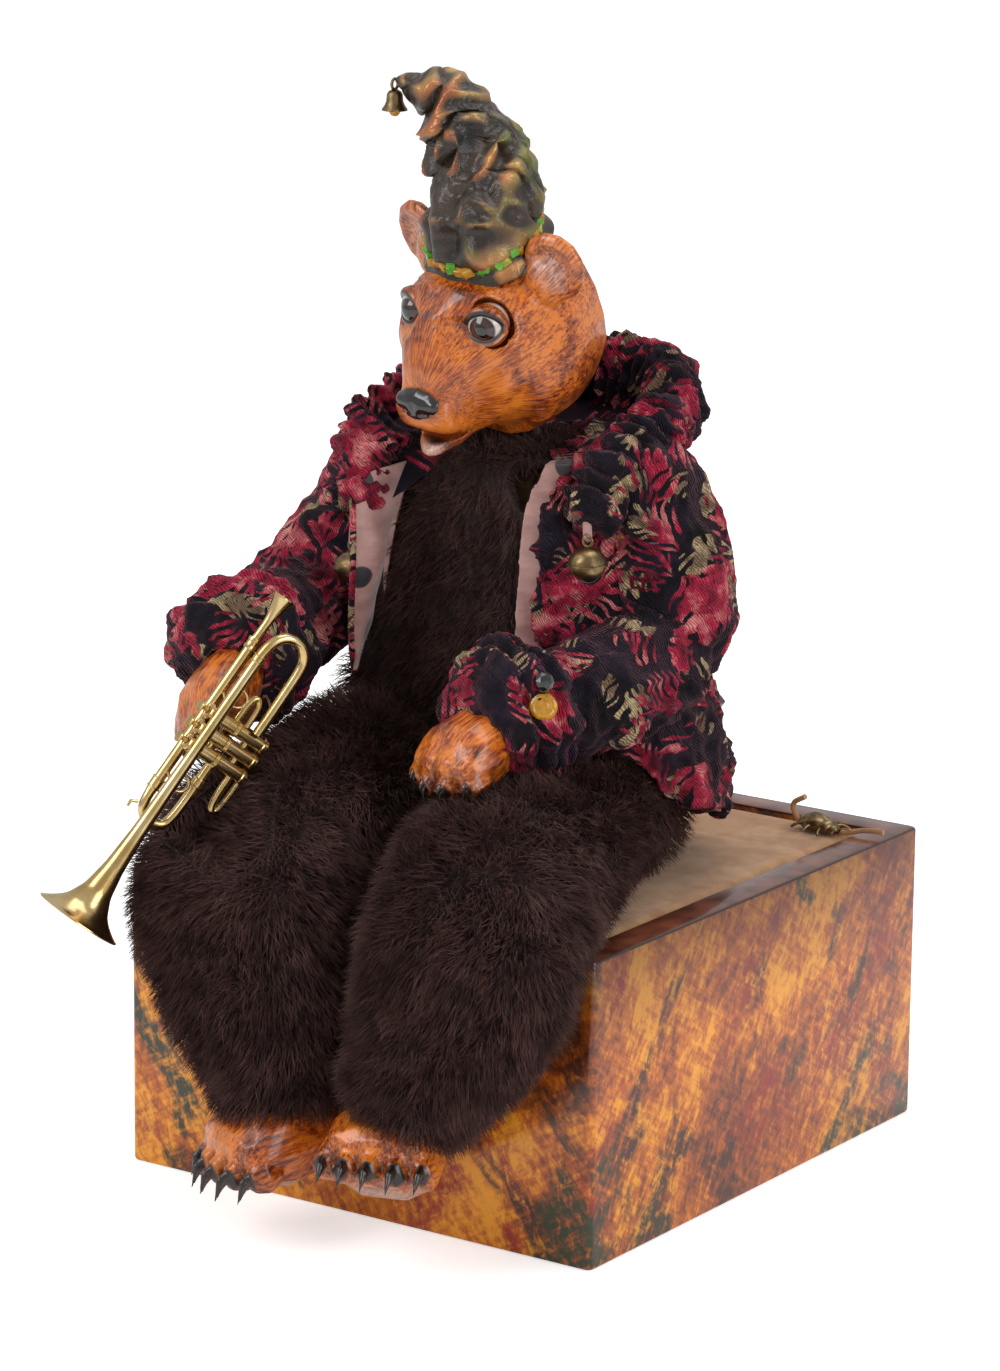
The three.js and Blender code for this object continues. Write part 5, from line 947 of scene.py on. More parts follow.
@dataclass
class BearHead:
    """Carved head with glass eyes, lids, ears and a gloss nose."""

    eye: Triple = (21.8, -37.6, 28.0)
    eye_radius: float = 10.2
    ear: Triple = (43.0, -9.0, 50.5)
    crown_lift: float = 7.0
    nose_scale: Triple = (1.5, 1.1, 1.4)
    look: Triple = (0.36, -0.92, 0.14)
    gaze: tuple[Triple, Triple] = ((0.34, -0.93, 0.1), (-0.1, -0.98, 0.1))
    nose_tip: Triple = (0.0, -74.0, -6.0)
    lids_wide: float = 59.0
    lids_up: float = 40.0
    lids_down: float = 34.0
    lid_skin: float = 1.3

    def opening(self, cos: np.ndarray, sin: np.ndarray) -> np.ndarray:
        """Returns how far the lids open at a turn round the eye, in degrees."""
        cos, sin = np.asarray(cos), np.asarray(sin)
        tall = np.where(sin > 0, self.lids_up, self.lids_down)
        almond = 1.7
        return (np.abs(cos / self.lids_wide) ** almond + np.abs(sin / tall) ** almond) ** (-1 / almond)

    def hair_flow(self, at: np.ndarray) -> np.ndarray:
        """Returns places for the hair strokes, which run back from the nose's tip."""
        away = at - np.array(self.nose_tip)
        reach = np.linalg.norm(away, axis=1)
        across = 0.06
        return np.column_stack([away[:, 0] / reach * across, away[:, 2] / reach * across, reach * MM])

    def socket(self, at: np.ndarray, side: int) -> np.ndarray:
        """Returns the head's points drawn over one eye and opened in front of it.

        Args:
            at: Places in the head's frame.
            side: 1 for the bear's left.
        """
        out = np.array([side * self.look[0], *self.look[1:]])
        away = at - np.array([side * self.eye[0], *self.eye[1:]])
        far = np.maximum(np.linalg.norm(away, axis=1), 1e-6)
        ahead = away @ (out / np.linalg.norm(out)) / far
        skin = self.eye_radius + self.lid_skin
        near_eye = skin + (far - skin) * ease(far, skin, skin + 8)
        local = away @ np.array(Vector(out).to_track_quat("Z", "Y").to_matrix())
        turn = np.arctan2(local[:, 1], local[:, 0])
        rim = np.degrees(np.arccos(np.clip(ahead, -1, 1))) - self.opening(np.cos(turn), np.sin(turn))
        opened = 1 - ease(rim, 1, 10)
        target = near_eye * (1 - opened) + (self.eye_radius - 1.5) * opened
        share = np.where(far < skin, ease(ahead, -0.7, -0.2), ease(ahead, 0.05, 0.5)) * (far < 26)
        return at + away * ((target / far - 1) * share)[:, None]

    def skull(self) -> None:
        """Carves and paints the head."""
        head = soft_copy("head_shell", "carved_head", 1.1, 5)
        at = moved(read_points(head), HEAD_PLACE.inverted()) / MM
        at[:, 2] += self.crown_lift * ease(at[:, 2], 2, 50)
        for stroke in (((24, -40, 43), (13, 8, 6), (1, -2.5, 1.5)),
                       ((13, -58, 6), (7, 12, 9), (-2.2, 0, 0.4)),
                       ((10, -69, -6), (9, 12, 10), (3.0, -0.6, 0.6)),
                       ((34, -36, 27), (10, 13, 13), (2.4, -1.6, 0)),
                       ((36, -18, -12), (16, 18, 16), (2.5, 0, 0)), ((14, -66, -17), (8, 9, 6), (2, -1, 0)),
                       ((8, -46, 18), (7, 9, 8), (-1.2, 1.5, -1.2))):
            at = mirrored(at, *stroke)
        for stroke in (((0, -64, -29), (12, 12, 5), (0, -4, -1.5)),
                       ((0, -73, -13), (12, 6, 4), (0, -1.5, -0.5)), ((0, -50, 12), (6, 14, 8), (0, 0, 1.2))):
            at = push(at, *stroke)
        at[:, 0] *= 1 - 0.16 * ease(-at[:, 1], 44, 56) * (1 - ease(-at[:, 1], 62, 74))
        cavity = near(at, (0, -74, -22.5), (14, 12, 3.4))
        lip = near(at, (0, -74, -28.8), (15, 14, 4))
        at += (cavity[:, None] * (0, 10, 1.2)) + (lip[:, None] * (0, -4.6, -3.2))
        for side in (-1, 1):
            at = self.socket(at, side)
        write_points(head, moved(at * MM, HEAD_PLACE))
        lumps = noise(at, 14, 3, 2)
        ahead = np.array(HEAD_PLACE.to_3x3() @ Vector((0, -1, 0)))
        shade = 0.35 * near(at, (0, -44, 30), (9, 14, 14)) + 0.25 * ease(lumps, 0.2, 0.9)
        pink = np.zeros(len(at))
        black = np.zeros(len(at))
        for side in (-1, 1):
            shade += 0.45 * near(at, (side * self.eye[0], -44, 24), (14, 9, 12))
            centre = (side * self.ear[0], self.ear[1] - 3, self.ear[2] - 1)
            inside = near(at, centre, (11, 5.5, 11)) * ease(read_normals(head) @ ahead, 0.1, 0.6)
            pink += 1.3 * inside * (0.75 + 0.5 * noise(at * (1, 1, 0.15), 1.2, 5))
            shade += inside * ease(noise(at * (1, 1, 0.2), 1.6, 9), 0.1, 0.5)
        pink += ease(lip, 0.3, 0.7)
        # The mouth's hollow is painted near-black: painted shade for the dark inside of the open mouth.
        black += ease(cavity, 0.22, 0.42)
        coat_layers(head, self.hair_flow(at), shade, pink, black)
        dress(head, Finish.CARVED, "carved_wood", "head", "head_shell")

    def eyes(self) -> None:
        """Makes the glass eyes and the carved lids round them."""
        for name, side, gaze in (("right", -1, self.gaze[1]), ("left", 1, self.gaze[0])):
            look = Vector(gaze).normalized()
            centre = Vector((side * self.eye[0], *self.eye[1:]))
            deselect()
            bpy.ops.mesh.primitive_uv_sphere_add(segments=56, ring_count=40, radius=self.eye_radius * MM)
            ball = bpy.context.object
            ball.name = name + "_glass_eye"
            at = read_points(ball) / MM
            theta = np.degrees(np.arccos(np.clip(at[:, 2] / self.eye_radius, -1, 1)))
            at[:, 2] += 0.7 * (1 - ease(theta, 10, 42))
            write_points(ball, at * MM)
            paint(ball, "gaze", theta / 90)
            smooth_shade(ball)
            settle(ball, HEAD_PLACE @ facing(centre, look))
            dress(ball, Finish.EYE, "eye_glass", "head", name + "_eye")
            self.lid(name, side, centre)

    def lid(self, name: str, side: int, centre: Vector) -> None:
        """Makes one pair of lids with an almond opening.

        Args:
            name: The side's name.
            side: 1 for the bear's left.
            centre: The eye's middle in the head's frame.
        """
        out = Vector((side * self.look[0], *self.look[1:])).normalized()
        place = facing(centre, out)
        around, rings, last = 72, 12, 88
        lift = [-0.2, 0.7, 1.2, 1.5, 1.6, 1.6, 1.5, 1.3, 1.0, 0.5, -0.2, -1.0]
        rows, black, pink = [], [], []
        for i in range(rings):
            for j in range(around):
                angle = 2 * math.pi * j / around
                cos, sin = math.cos(angle), math.sin(angle)
                opening = float(self.opening(cos, sin))
                theta = math.radians(opening + (last - opening) * (i / (rings - 1)) ** 1.3)
                radius = self.eye_radius + lift[i] + (0.5 if sin > 0.2 and 1 < i < 6 else 0)
                rows.append((radius * math.sin(theta) * cos, radius * math.sin(theta) * sin,
                             radius * math.cos(theta)))
                black.append(1.0 if i < 2 + (sin > 0) else (0.5 if i == 2 + (sin > 0) else 0))
                pink.append(0.8 if 2 <= i < 4 and sin < -0.3 else 0)
        points = np.array(rows) * MM
        lid = from_arrays(name + "_eyelids", points, grid(rings, around, closed=True))
        flow = self.hair_flow(moved(points, place) / MM)
        coat_layers(lid, flow, np.full(len(rows), 0.35), np.array(pink), np.array(black))
        settle(lid, HEAD_PLACE @ place)
        finish_modifier(lid, "SOLIDIFY", thickness=0.5 * MM, offset=-1)
        finish_modifier(lid, "SUBSURF", levels=1, render_levels=1)
        smooth_shade(lid)
        dress(lid, Finish.CARVED, "carved_wood", "head")

    def nose(self) -> None:
        """Makes the gloss nose with its nostrils."""
        nose = soft_copy("nose", "gloss_nose", 0.5, 6)
        at = moved(read_points(nose), HEAD_PLACE.inverted()) / MM
        middle = at.mean(axis=0)
        at = middle + (at - middle) * self.nose_scale + (0, -0.5, -0.6)
        at = mirrored(at, (6.2, -79, -6.8), (2.6, 4, 2.0), (0.3, 2.4, 0.2))
        at = mirrored(at, (10.5, -73, -3), (3, 4, 3), (1.0, -0.6, 0.5))
        at = push(at, (0, -80, -2), (2, 4, 7), (0, 1.0, 0))
        write_points(nose, moved(at * MM, HEAD_PLACE))
        dress(nose, Finish.BLACK_GLOSS, "black_gloss", "head", "nose")

    def build(self) -> None:
        """Builds the whole head."""
        self.skull()
        self.eyes()
        self.nose()


# Hat


BELL_LOOP = 2.6


@dataclass
class CrumpledHat:
    """Tall leather hat that leans to one side, with its bead string and bell."""

    band_out: float = 28.2
    band_place: Triple = (0.0, -10.0, 59.5)
    rings: int = 230
    sides: int = 180
    pitch: float = 19.0
    depth: float = 2.9
    girth: tuple[tuple[float, float], ...] = ((0, 33), (0.03, 30), (0.07, 26.5), (0.13, 24.5), (0.35, 23),
                                              (0.55, 19.5), (0.7, 15), (0.85, 9.5), (0.95, 4.5), (0.985, 2.4),
                                              (1, 1.2))
    band_tilt: float = 14.0
    beads: int = 38
    bell: Triple = (-57.3, -40.0, 532.85)
    bell_radius: float = 6.3

    def ring(self) -> Matrix:
        """Returns the frame of the ring that the beads lie on."""
        return HEAD_PLACE @ shifted(*self.band_place) @ rotation("X", self.band_tilt)

    def leather(self) -> None:
        """Makes the crumpled leather as one gathered tube of spiral folds."""
        ring = self.ring()
        stops = [np.array(ring @ Vector((0, 0, z * MM))) for z in (-10, 5)]
        stops += [figure(*p) for p in ((-0.02, -0.19, 1.34), (-0.085, -0.18, 1.43), (-0.16, -0.18, 1.5),
                                       (-0.28, -0.2, 1.535))]
        route = Route(stops, 48)
        share = np.linspace(0, 1, self.rings)
        centre = np.column_stack([np.interp(share, route.share, route.line[:, k]) for k in range(3)]) / MM
        ahead = unit(np.gradient(centre, axis=0))
        start = np.array(ring.to_3x3() @ Vector((0, 0, 1)))
        ahead = unit(start + (ahead - start) * ease(share, 0.0, 0.25)[:, None])
        first = unit(np.array([0, 1, 0]) - ahead * ahead[:, 1:2])
        second = np.cross(ahead, first)
        angle = np.linspace(0, 2 * math.pi, self.sides, endpoint=False)
        radius = np.interp(share, *zip(*self.girth))
        way = first[:, None] * np.cos(angle)[None, :, None] + second[:, None] * np.sin(angle)[None, :, None]
        flat = (centre[:, None] + way * radius[:, None, None]).reshape(-1, 3)
        height = np.repeat(share * route.length / MM, self.sides)
        turn = np.tile(angle, self.rings)
        fade = np.repeat(ease(share, 0.03, 0.13) * (1 - 0.75 * ease(share, 0.8, 1.0)), self.sides)
        phase = (height / self.pitch + turn / (2 * math.pi) + 1.1 * noise(flat, 26, 11)
                 + 0.3 * noise(flat, 11, 14))
        fold = 1.7 * np.abs(np.sin(math.pi * phase)) ** 0.7 - 1
        bend = np.column_stack([noise(flat, 18, k) for k in (15, 16, 17)])
        cross = 1 - 2.4 * np.abs(noise(flat + 6 * bend, 15, 12))
        fine = 1 - 2.4 * np.abs(noise(flat, 6, 13))
        lift = fade * (self.depth * fold + 3.8 * np.clip(cross, -0.8, 1) + 0.7 * fine)
        lift += np.repeat(1 - ease(share, 0.0, 0.06), self.sides) * 1.6 * noise(flat, 16, 18)
        points = flat + way.reshape(-1, 3) * lift[:, None]
        points[:, 2] -= fade * 1.6 * fold
        faces = grid(self.rings, self.sides, closed=True)
        last = (self.rings - 1) * self.sides
        faces += [tuple(range(self.sides))[::-1], tuple(range(last, last + self.sides))]
        hat = from_arrays("crumpled_leather", points * MM, faces)
        paint(hat, "ridge", ease(0.3 * fold + 0.6 * cross + 0.35 * noise(flat, 20, 19), 0.1, 0.85))
        smooth_shade(hat, 80)
        dress(hat, Finish.LEATHER, "hat_leather", "head", "hat")

    def bead_string(self) -> None:
        """Strings green and amber glass beads round the hat."""
        random = np.random.default_rng(SEED)
        ring = self.ring()
        glass = (Finish.GREEN_GLASS, Finish.LIME_GLASS, Finish.AMBER_GLASS)
        groups: dict[Finish, list[bpy.types.Object]] = {finish: [] for finish in glass}
        for i in range(self.beads):
            deselect()
            bpy.ops.mesh.primitive_cube_add(size=1)
            bead = bpy.context.object
            size = Vector(random.uniform((4.4, 3.6, 3.6), (6.0, 5.0, 5.4))) * MM
            bead.data.transform(Matrix.Diagonal((*size, 1)))
            finish_modifier(bead, "BEVEL", width=0.55 * MM, segments=2)
            angle = 360 * i / self.beads
            spin = [rotation(axis, float(random.uniform(-28, 28))) for axis in "XYZ"]
            jitter = Vector(random.uniform((-0.6, -1, -1.5), (0.6, 1, 1.5))) * MM
            out = Vector((self.band_out * MM, 0, 0)) + jitter
            place = ring @ rotation("Z", angle) @ Matrix.Translation(out) @ rotation("Z", 90)
            settle(bead, place @ spin[0] @ spin[1] @ spin[2])
            smooth_shade(bead, 35)
            groups[glass[int(random.choice(3, p=(0.42, 0.33, 0.25)))]].append(bead)
        for name, finish in zip(("green", "lime", "amber"), glass):
            nodes = ("bead_band",) if name == "green" else ()
            slot = name.replace("lime", "green") + "_glass"
            dress(joined(name + "_beads", groups[finish]), finish, slot, "head", *nodes)

    def hanging_bell(self) -> None:
        """Hangs the small bell and its glass clapper from the tip."""
        x, y, z = self.bell
        top = z - BELL_LOOP
        place = shifted(x, y, top)
        r = self.bell_radius
        shape = [(0, 0), (1.6, -0.1), (r * 0.5, -1.0), (r * 0.62, -2.4), (r * 0.66, -5.6), (r * 0.78, -7.6),
                 (r, -9.6), (r, -10.1), (r - 0.6, -10.0), (r * 0.7, -7.6), (r * 0.56, -5.4), (r * 0.5, -2.4),
                 (0, -1.4)]
        cup = turned("hat_bell_cup", shape, place, 40, 50)
        loop = sweep("loop", hoop((x, y, z), BELL_LOOP, "yz"), 0.75, sides=3)
        cup = joined("hat_bell_cup", [cup, loop])
        dress(cup, Finish.OLD_BRASS, "old_brass", "hat_bell", "hat_bell")
        drop = [(0, -13.1), (1.5, -12.8), (2.6, -11.5), (2.9, -10.3), (2.5, -8.8), (1.2, -7.7), (0.6, -7.2),
                (0.6, -2), (0, -2)]
        ball = turned("hat_bell_bead", drop, place, 32, 60)
        dress(ball, Finish.AMBER_GLASS, "amber_glass", "hat_bell", "hat_bell_clapper")

    def build(self) -> None:
        """Builds the hat and what hangs on it."""
        self.leather()
        self.bead_string()
        self.hanging_bell()


# Velvet


@dataclass
class VelvetJacket:
    """Open jacket of crushed velvet with gathered collar and cuffs."""

    voxel: float = 1.7
    bell_radius: float = 9.2

    def crumple(self, obj: bpy.types.Object, depth: float, grain: float, seed: int) -> None:
        """Works soft creases into a piece.

        Args:
            obj: The piece.
            depth: Height of a crease in millimetres.
            grain: Distance between creases in millimetres.
            seed: Chooses the pattern.
        """
        for scale, share in ((1.0, 1.0), (0.45, 0.45)):
            points = read_points(obj)
            warp = np.column_stack([noise(points, 2 * grain * MM, seed + k) for k in (1, 2, 3)])
            crease = 0.5 - 1.6 * np.abs(noise(points + warp * grain * 0.5 * MM, grain * scale * MM, seed + 7))
            rise = depth * share * MM * np.clip(crease, -0.6, 0.5)
            write_points(obj, points + read_normals(obj) * rise[:, None])

    def ruched(self, node: str, name: str, route: Route, side: Triple, puckers: float, body: str) -> None:
        """Makes a gathered roll of cloth.

        Args:
            node: The node it stands for.
            name: The piece's name.
            route: The roll's middle line.
            side: The direction of angle 0 round it.
            puckers: Distance between gathers in millimetres.
            body: The body it moves with.
        """
        obj = soft_copy(node, name, self.voxel, 5)
        points = read_points(obj)
        share, angle, out = route.locate(points, side)
        along = share * route.length / MM
        wander = 2.2 * noise(np.column_stack([along * 0.4, np.cos(angle) * 14, np.sin(angle) * 14]), 9, 5)
        pucker = np.abs(np.sin(math.pi * (along + 2.5 * wander) / puckers))
        lump = noise(points, 0.014, 21)
        if node == "collar":
            points[:, 2] += 7 * MM * (1 - ease(share, 0.0, 0.2))
        lift = 6.0 * (pucker - 0.6) + 2.6 * lump
        write_points(obj, points + out * (lift * MM)[:, None])
        self.crumple(obj, 2.2, 8, 31)
        finish_modifier(obj, "SMOOTH", factor=0.5, iterations=1)
        smooth_shade(obj)
        dress(obj, Finish.VELVET, "velvet", body, node)

    def sleeve(self, node: str, name: str, route: Route, body: str) -> None:
        """Makes a full sleeve with creases round the elbow.

        Args:
            node: The node it stands for.
            name: The piece's name.
            route: The sleeve's middle line.
            body: The body it moves with.
        """
        obj = soft_copy(node, name, self.voxel, 6)
        points = read_points(obj)
        share, angle, out = route.locate(points, (1, 0, 0))
        along = share * route.length / MM
        fold = noise(np.column_stack([along, 16 * np.cos(angle), 16 * np.sin(angle)]), 15, 41)
        write_points(obj, points + out * (4.2 * MM * (0.35 - np.abs(fold)))[:, None])
        self.crumple(obj, 3.6, 17, 43)
        smooth_shade(obj)
        dress(obj, Finish.VELVET, "velvet", body, node)

    def body(self) -> None:
        """Makes the jacket's back and fronts and their lining."""
        obj = soft_copy("jacket_body", "jacket_velvet", self.voxel, 4)
        self.crumple(obj, 7.0, 30, 51)
        self.crumple(obj, 2.4, 12, 57)
        smooth_shade(obj)
        dress(obj, Finish.VELVET, "velvet", "box", "jacket_body")
        lining = soft_copy("jacket_lining", "jacket_satin", 0.9, 2)
        smooth_shade(lining)
        dress(lining, Finish.SATIN, "satin", "box", "jacket_lining")

    def yoke(self, collar: Route) -> None:
        """Closes the jacket between the collar and the neck.

        Args:
            collar: The collar's middle line.
        """
        outer = collar.line[:: max(1, len(collar.line) // 90)] / MM
        middle = figure(0, -0.05, 0.835) / MM
        rows = []
        across = np.linspace(0, 1, 16)
        sag = np.array([0, 0, 4.0])
        for point in outer:
            inner = middle + (point - middle) * (0.4, 0.4, 0.0)
            sunk = point - sag
            rows += [sunk * (1 - t) + inner * t - sag * math.sin(math.pi * t) for t in across]
        yoke = from_arrays("collar_yoke", np.array(rows) * MM, grid(len(outer), len(across)))
        finish_modifier(yoke, "SOLIDIFY", thickness=1.2 * MM, offset=0)
        smooth_shade(yoke, 60)
        dress(yoke, Finish.VELVET, "velvet", "box")

    def lapel(self) -> None:
        """Turns the right front's edge outward, so that its lining shows."""
        outer = [(-43, -93, 350), (-42, -94, 331), (-41, -95, 310), (-44, -92, 289), (-47, -88, 268),
                 (-51, -80, 250)]
        inner = [(-36, -58, 353), (-39, -60, 337), (-43, -62, 318), (-47, -63, 298), (-50, -66, 278),
                 (-52, -75, 251)]
        outside, inside = (Route([np.array(p, dtype=float) for p in row], 12).line for row in (outer, inner))
        rows, across = [], np.linspace(0, 1, 14)
        for a, b in zip(outside, inside):
            bulge = np.array([4.5 + 5.5 * math.exp(-((a[2] - 301) / 15) ** 2), -6.4, 1.6])
            rows += [a * (1 - t) + b * t + bulge * math.sin(math.pi * t ** 1.25) for t in across]
        rows = np.array(rows)
        rows += np.array([0.9, 0.3, 0.0]) * noise(rows, 13, 61)[:, None]
        faces = grid(len(outside), len(across))
        for name, lift, finish, slot in (("lapel_lining", 0.5, Finish.SATIN, "satin"),
                                         ("lapel_velvet", -0.5, Finish.VELVET, "velvet")):
            sheet = from_arrays(name, (rows + np.array([0.56, -0.8, 0.2]) * lift) * MM, faces)
            finish_modifier(sheet, "SOLIDIFY", thickness=0.8 * MM, offset=0)
            smooth_shade(sheet, 60)
            dress(sheet, finish, slot, "box")
        piping = sweep("lapel_piping", [tuple(p) for p in outside[::3]], 1.6, sides=4)
        dress(piping, Finish.VELVET, "velvet", "box")

    def trimmings(self) -> None:
        """Makes the button, its bead and the lapel bells with their ribbons."""
        button = figure(0.445, -0.61, 0.441) / MM
        out = Vector(button - figure(0.345, -0.465, 0.4) / MM).normalized()
        place = facing(Vector(button), out)
        profile = [(0, -0.4), (5.6, -0.4), (6.6, 0.5), (6.8, 1.8), (6.2, 3.2), (5.2, 3.7), (4.3, 3.1),
                   (3.4, 3.0), (2.4, 3.5), (0, 3.7)]
        disc = turned("amber_button", profile, place, 48, 40)
        dress(disc, Finish.AMBER_GLASS, "amber_glass", "box", "cuff_button")
        deselect()
        bpy.ops.mesh.primitive_ico_sphere_add(subdivisions=2, radius=5.1 * MM)
        bead = bpy.context.object
        bead.name = "faceted_bead"
        settle(bead, shifted(*(Vector(button) + out * 4 + Vector((0, 0, 12)))) @ rotation("X", 20))
        finish_modifier(bead, "BEVEL", width=0.25 * MM, segments=1)
        dress(bead, Finish.BLACK_GLOSS, "black_gloss", "box", "cuff_bead")
        self.lapel_bell("left", figure(0.37, -0.32, 0.665) / MM)
        self.lapel_bell("right", figure(-0.26, -0.4, 0.6) / MM)

    def lapel_bell(self, side: str, at: np.ndarray) -> None:
        """Makes a round slotted bell and its ribbon.

        Args:
            side: The side's name.
            at: The bell's middle in millimetres.
        """
        r = self.bell_radius
        place = shifted(*at) @ Matrix.Diagonal((1, 1, 0.88, 1))
        lower, upper = ([(r * math.sin(a), -r * math.cos(a)) for a in np.linspace(*ends, 12)]
                        for ends in ((0.2, 1.5), (1.64, 2.95)))
        profile = [(0, -r), *lower, (r + 0.7, -0.5), (r + 0.7, 0.5), *upper, (0, r)]
        bell = turned("shell", profile, place, 48, 30)
        loop = hoop((at[0], at[1], at[2] + r + 1.8), BELL_LOOP, "xz")
        # A black strip along the bell's lower half stands in for its slot: painted shade where the opening
        # would show the bell's dark inside.
        cut = [(at[0] + r * 0.98 * math.sin(a), at[1], at[2] - r * math.cos(a))
               for a in np.linspace(-1.0, 1.0, 9)]
        slot = sweep("slot", cut, 0.9, sides=2)
        dress(slot, Finish.BLACK_GLOSS, "black_gloss", side + "_bell")
        slot.name = side + "_bell_slot_shadow"
        bell = joined(side + "_round_bell", [bell, sweep("loop", loop, 0.8, sides=3)])
        dress(bell, Finish.OLD_BRASS, "old_brass", side + "_bell", side + "_lapel_bell")
        ribbon = soft_copy(side + "_ribbon", side + "_strap", 0.5, 3)
        dress(ribbon, Finish.RIBBON, "velvet", "box", side + "_ribbon")

    def build(self) -> None:
        """Builds the whole jacket."""
        self.body()
        collar = figure_route((-0.24, -0.42, 0.72), (-0.245, -0.35, 0.84), (-0.245, -0.13, 0.92),
                              (-0.23, 0.15, 0.93), (0, 0.255, 0.935), (0.23, 0.22, 0.93), (0.34, 0.07, 0.895),
                              (0.34, -0.1, 0.84), (0.32, -0.25, 0.75))
        self.ruched("collar", "gathered_collar", collar, (0, 0, 1), 9, "box")
        self.yoke(collar)
        left = figure_route((0.33, -0.04, 0.77), (0.39, -0.01, 0.64), (0.415, -0.04, 0.48),
                            (0.395, -0.3, 0.415), (0.34, -0.48, 0.4))
        right = figure_route((-0.36, -0.08, 0.74), (-0.425, -0.15, 0.615), (-0.47, -0.27, 0.51),
                             (-0.455, -0.45, 0.475), (-0.42, -0.58, 0.462))
        self.sleeve("left_sleeve", "left_velvet_sleeve", left, "box")
        self.sleeve("right_sleeve", "right_velvet_sleeve", right, "arm")
        left_cuff = figure_route((0.345, -0.465, 0.4), (0.31, -0.545, 0.395), (0.28, -0.62, 0.385))
        right_cuff = figure_route((-0.42, -0.57, 0.465), (-0.405, -0.65, 0.456), (-0.39, -0.72, 0.44))
        self.ruched("left_cuff", "left_gathered_cuff", left_cuff, (1, 0, 0), 11, "box")
        self.ruched("right_cuff", "right_gathered_cuff", right_cuff, (1, 0, 0), 11, "arm")
        self.lapel()
        self.trimmings()


# The box


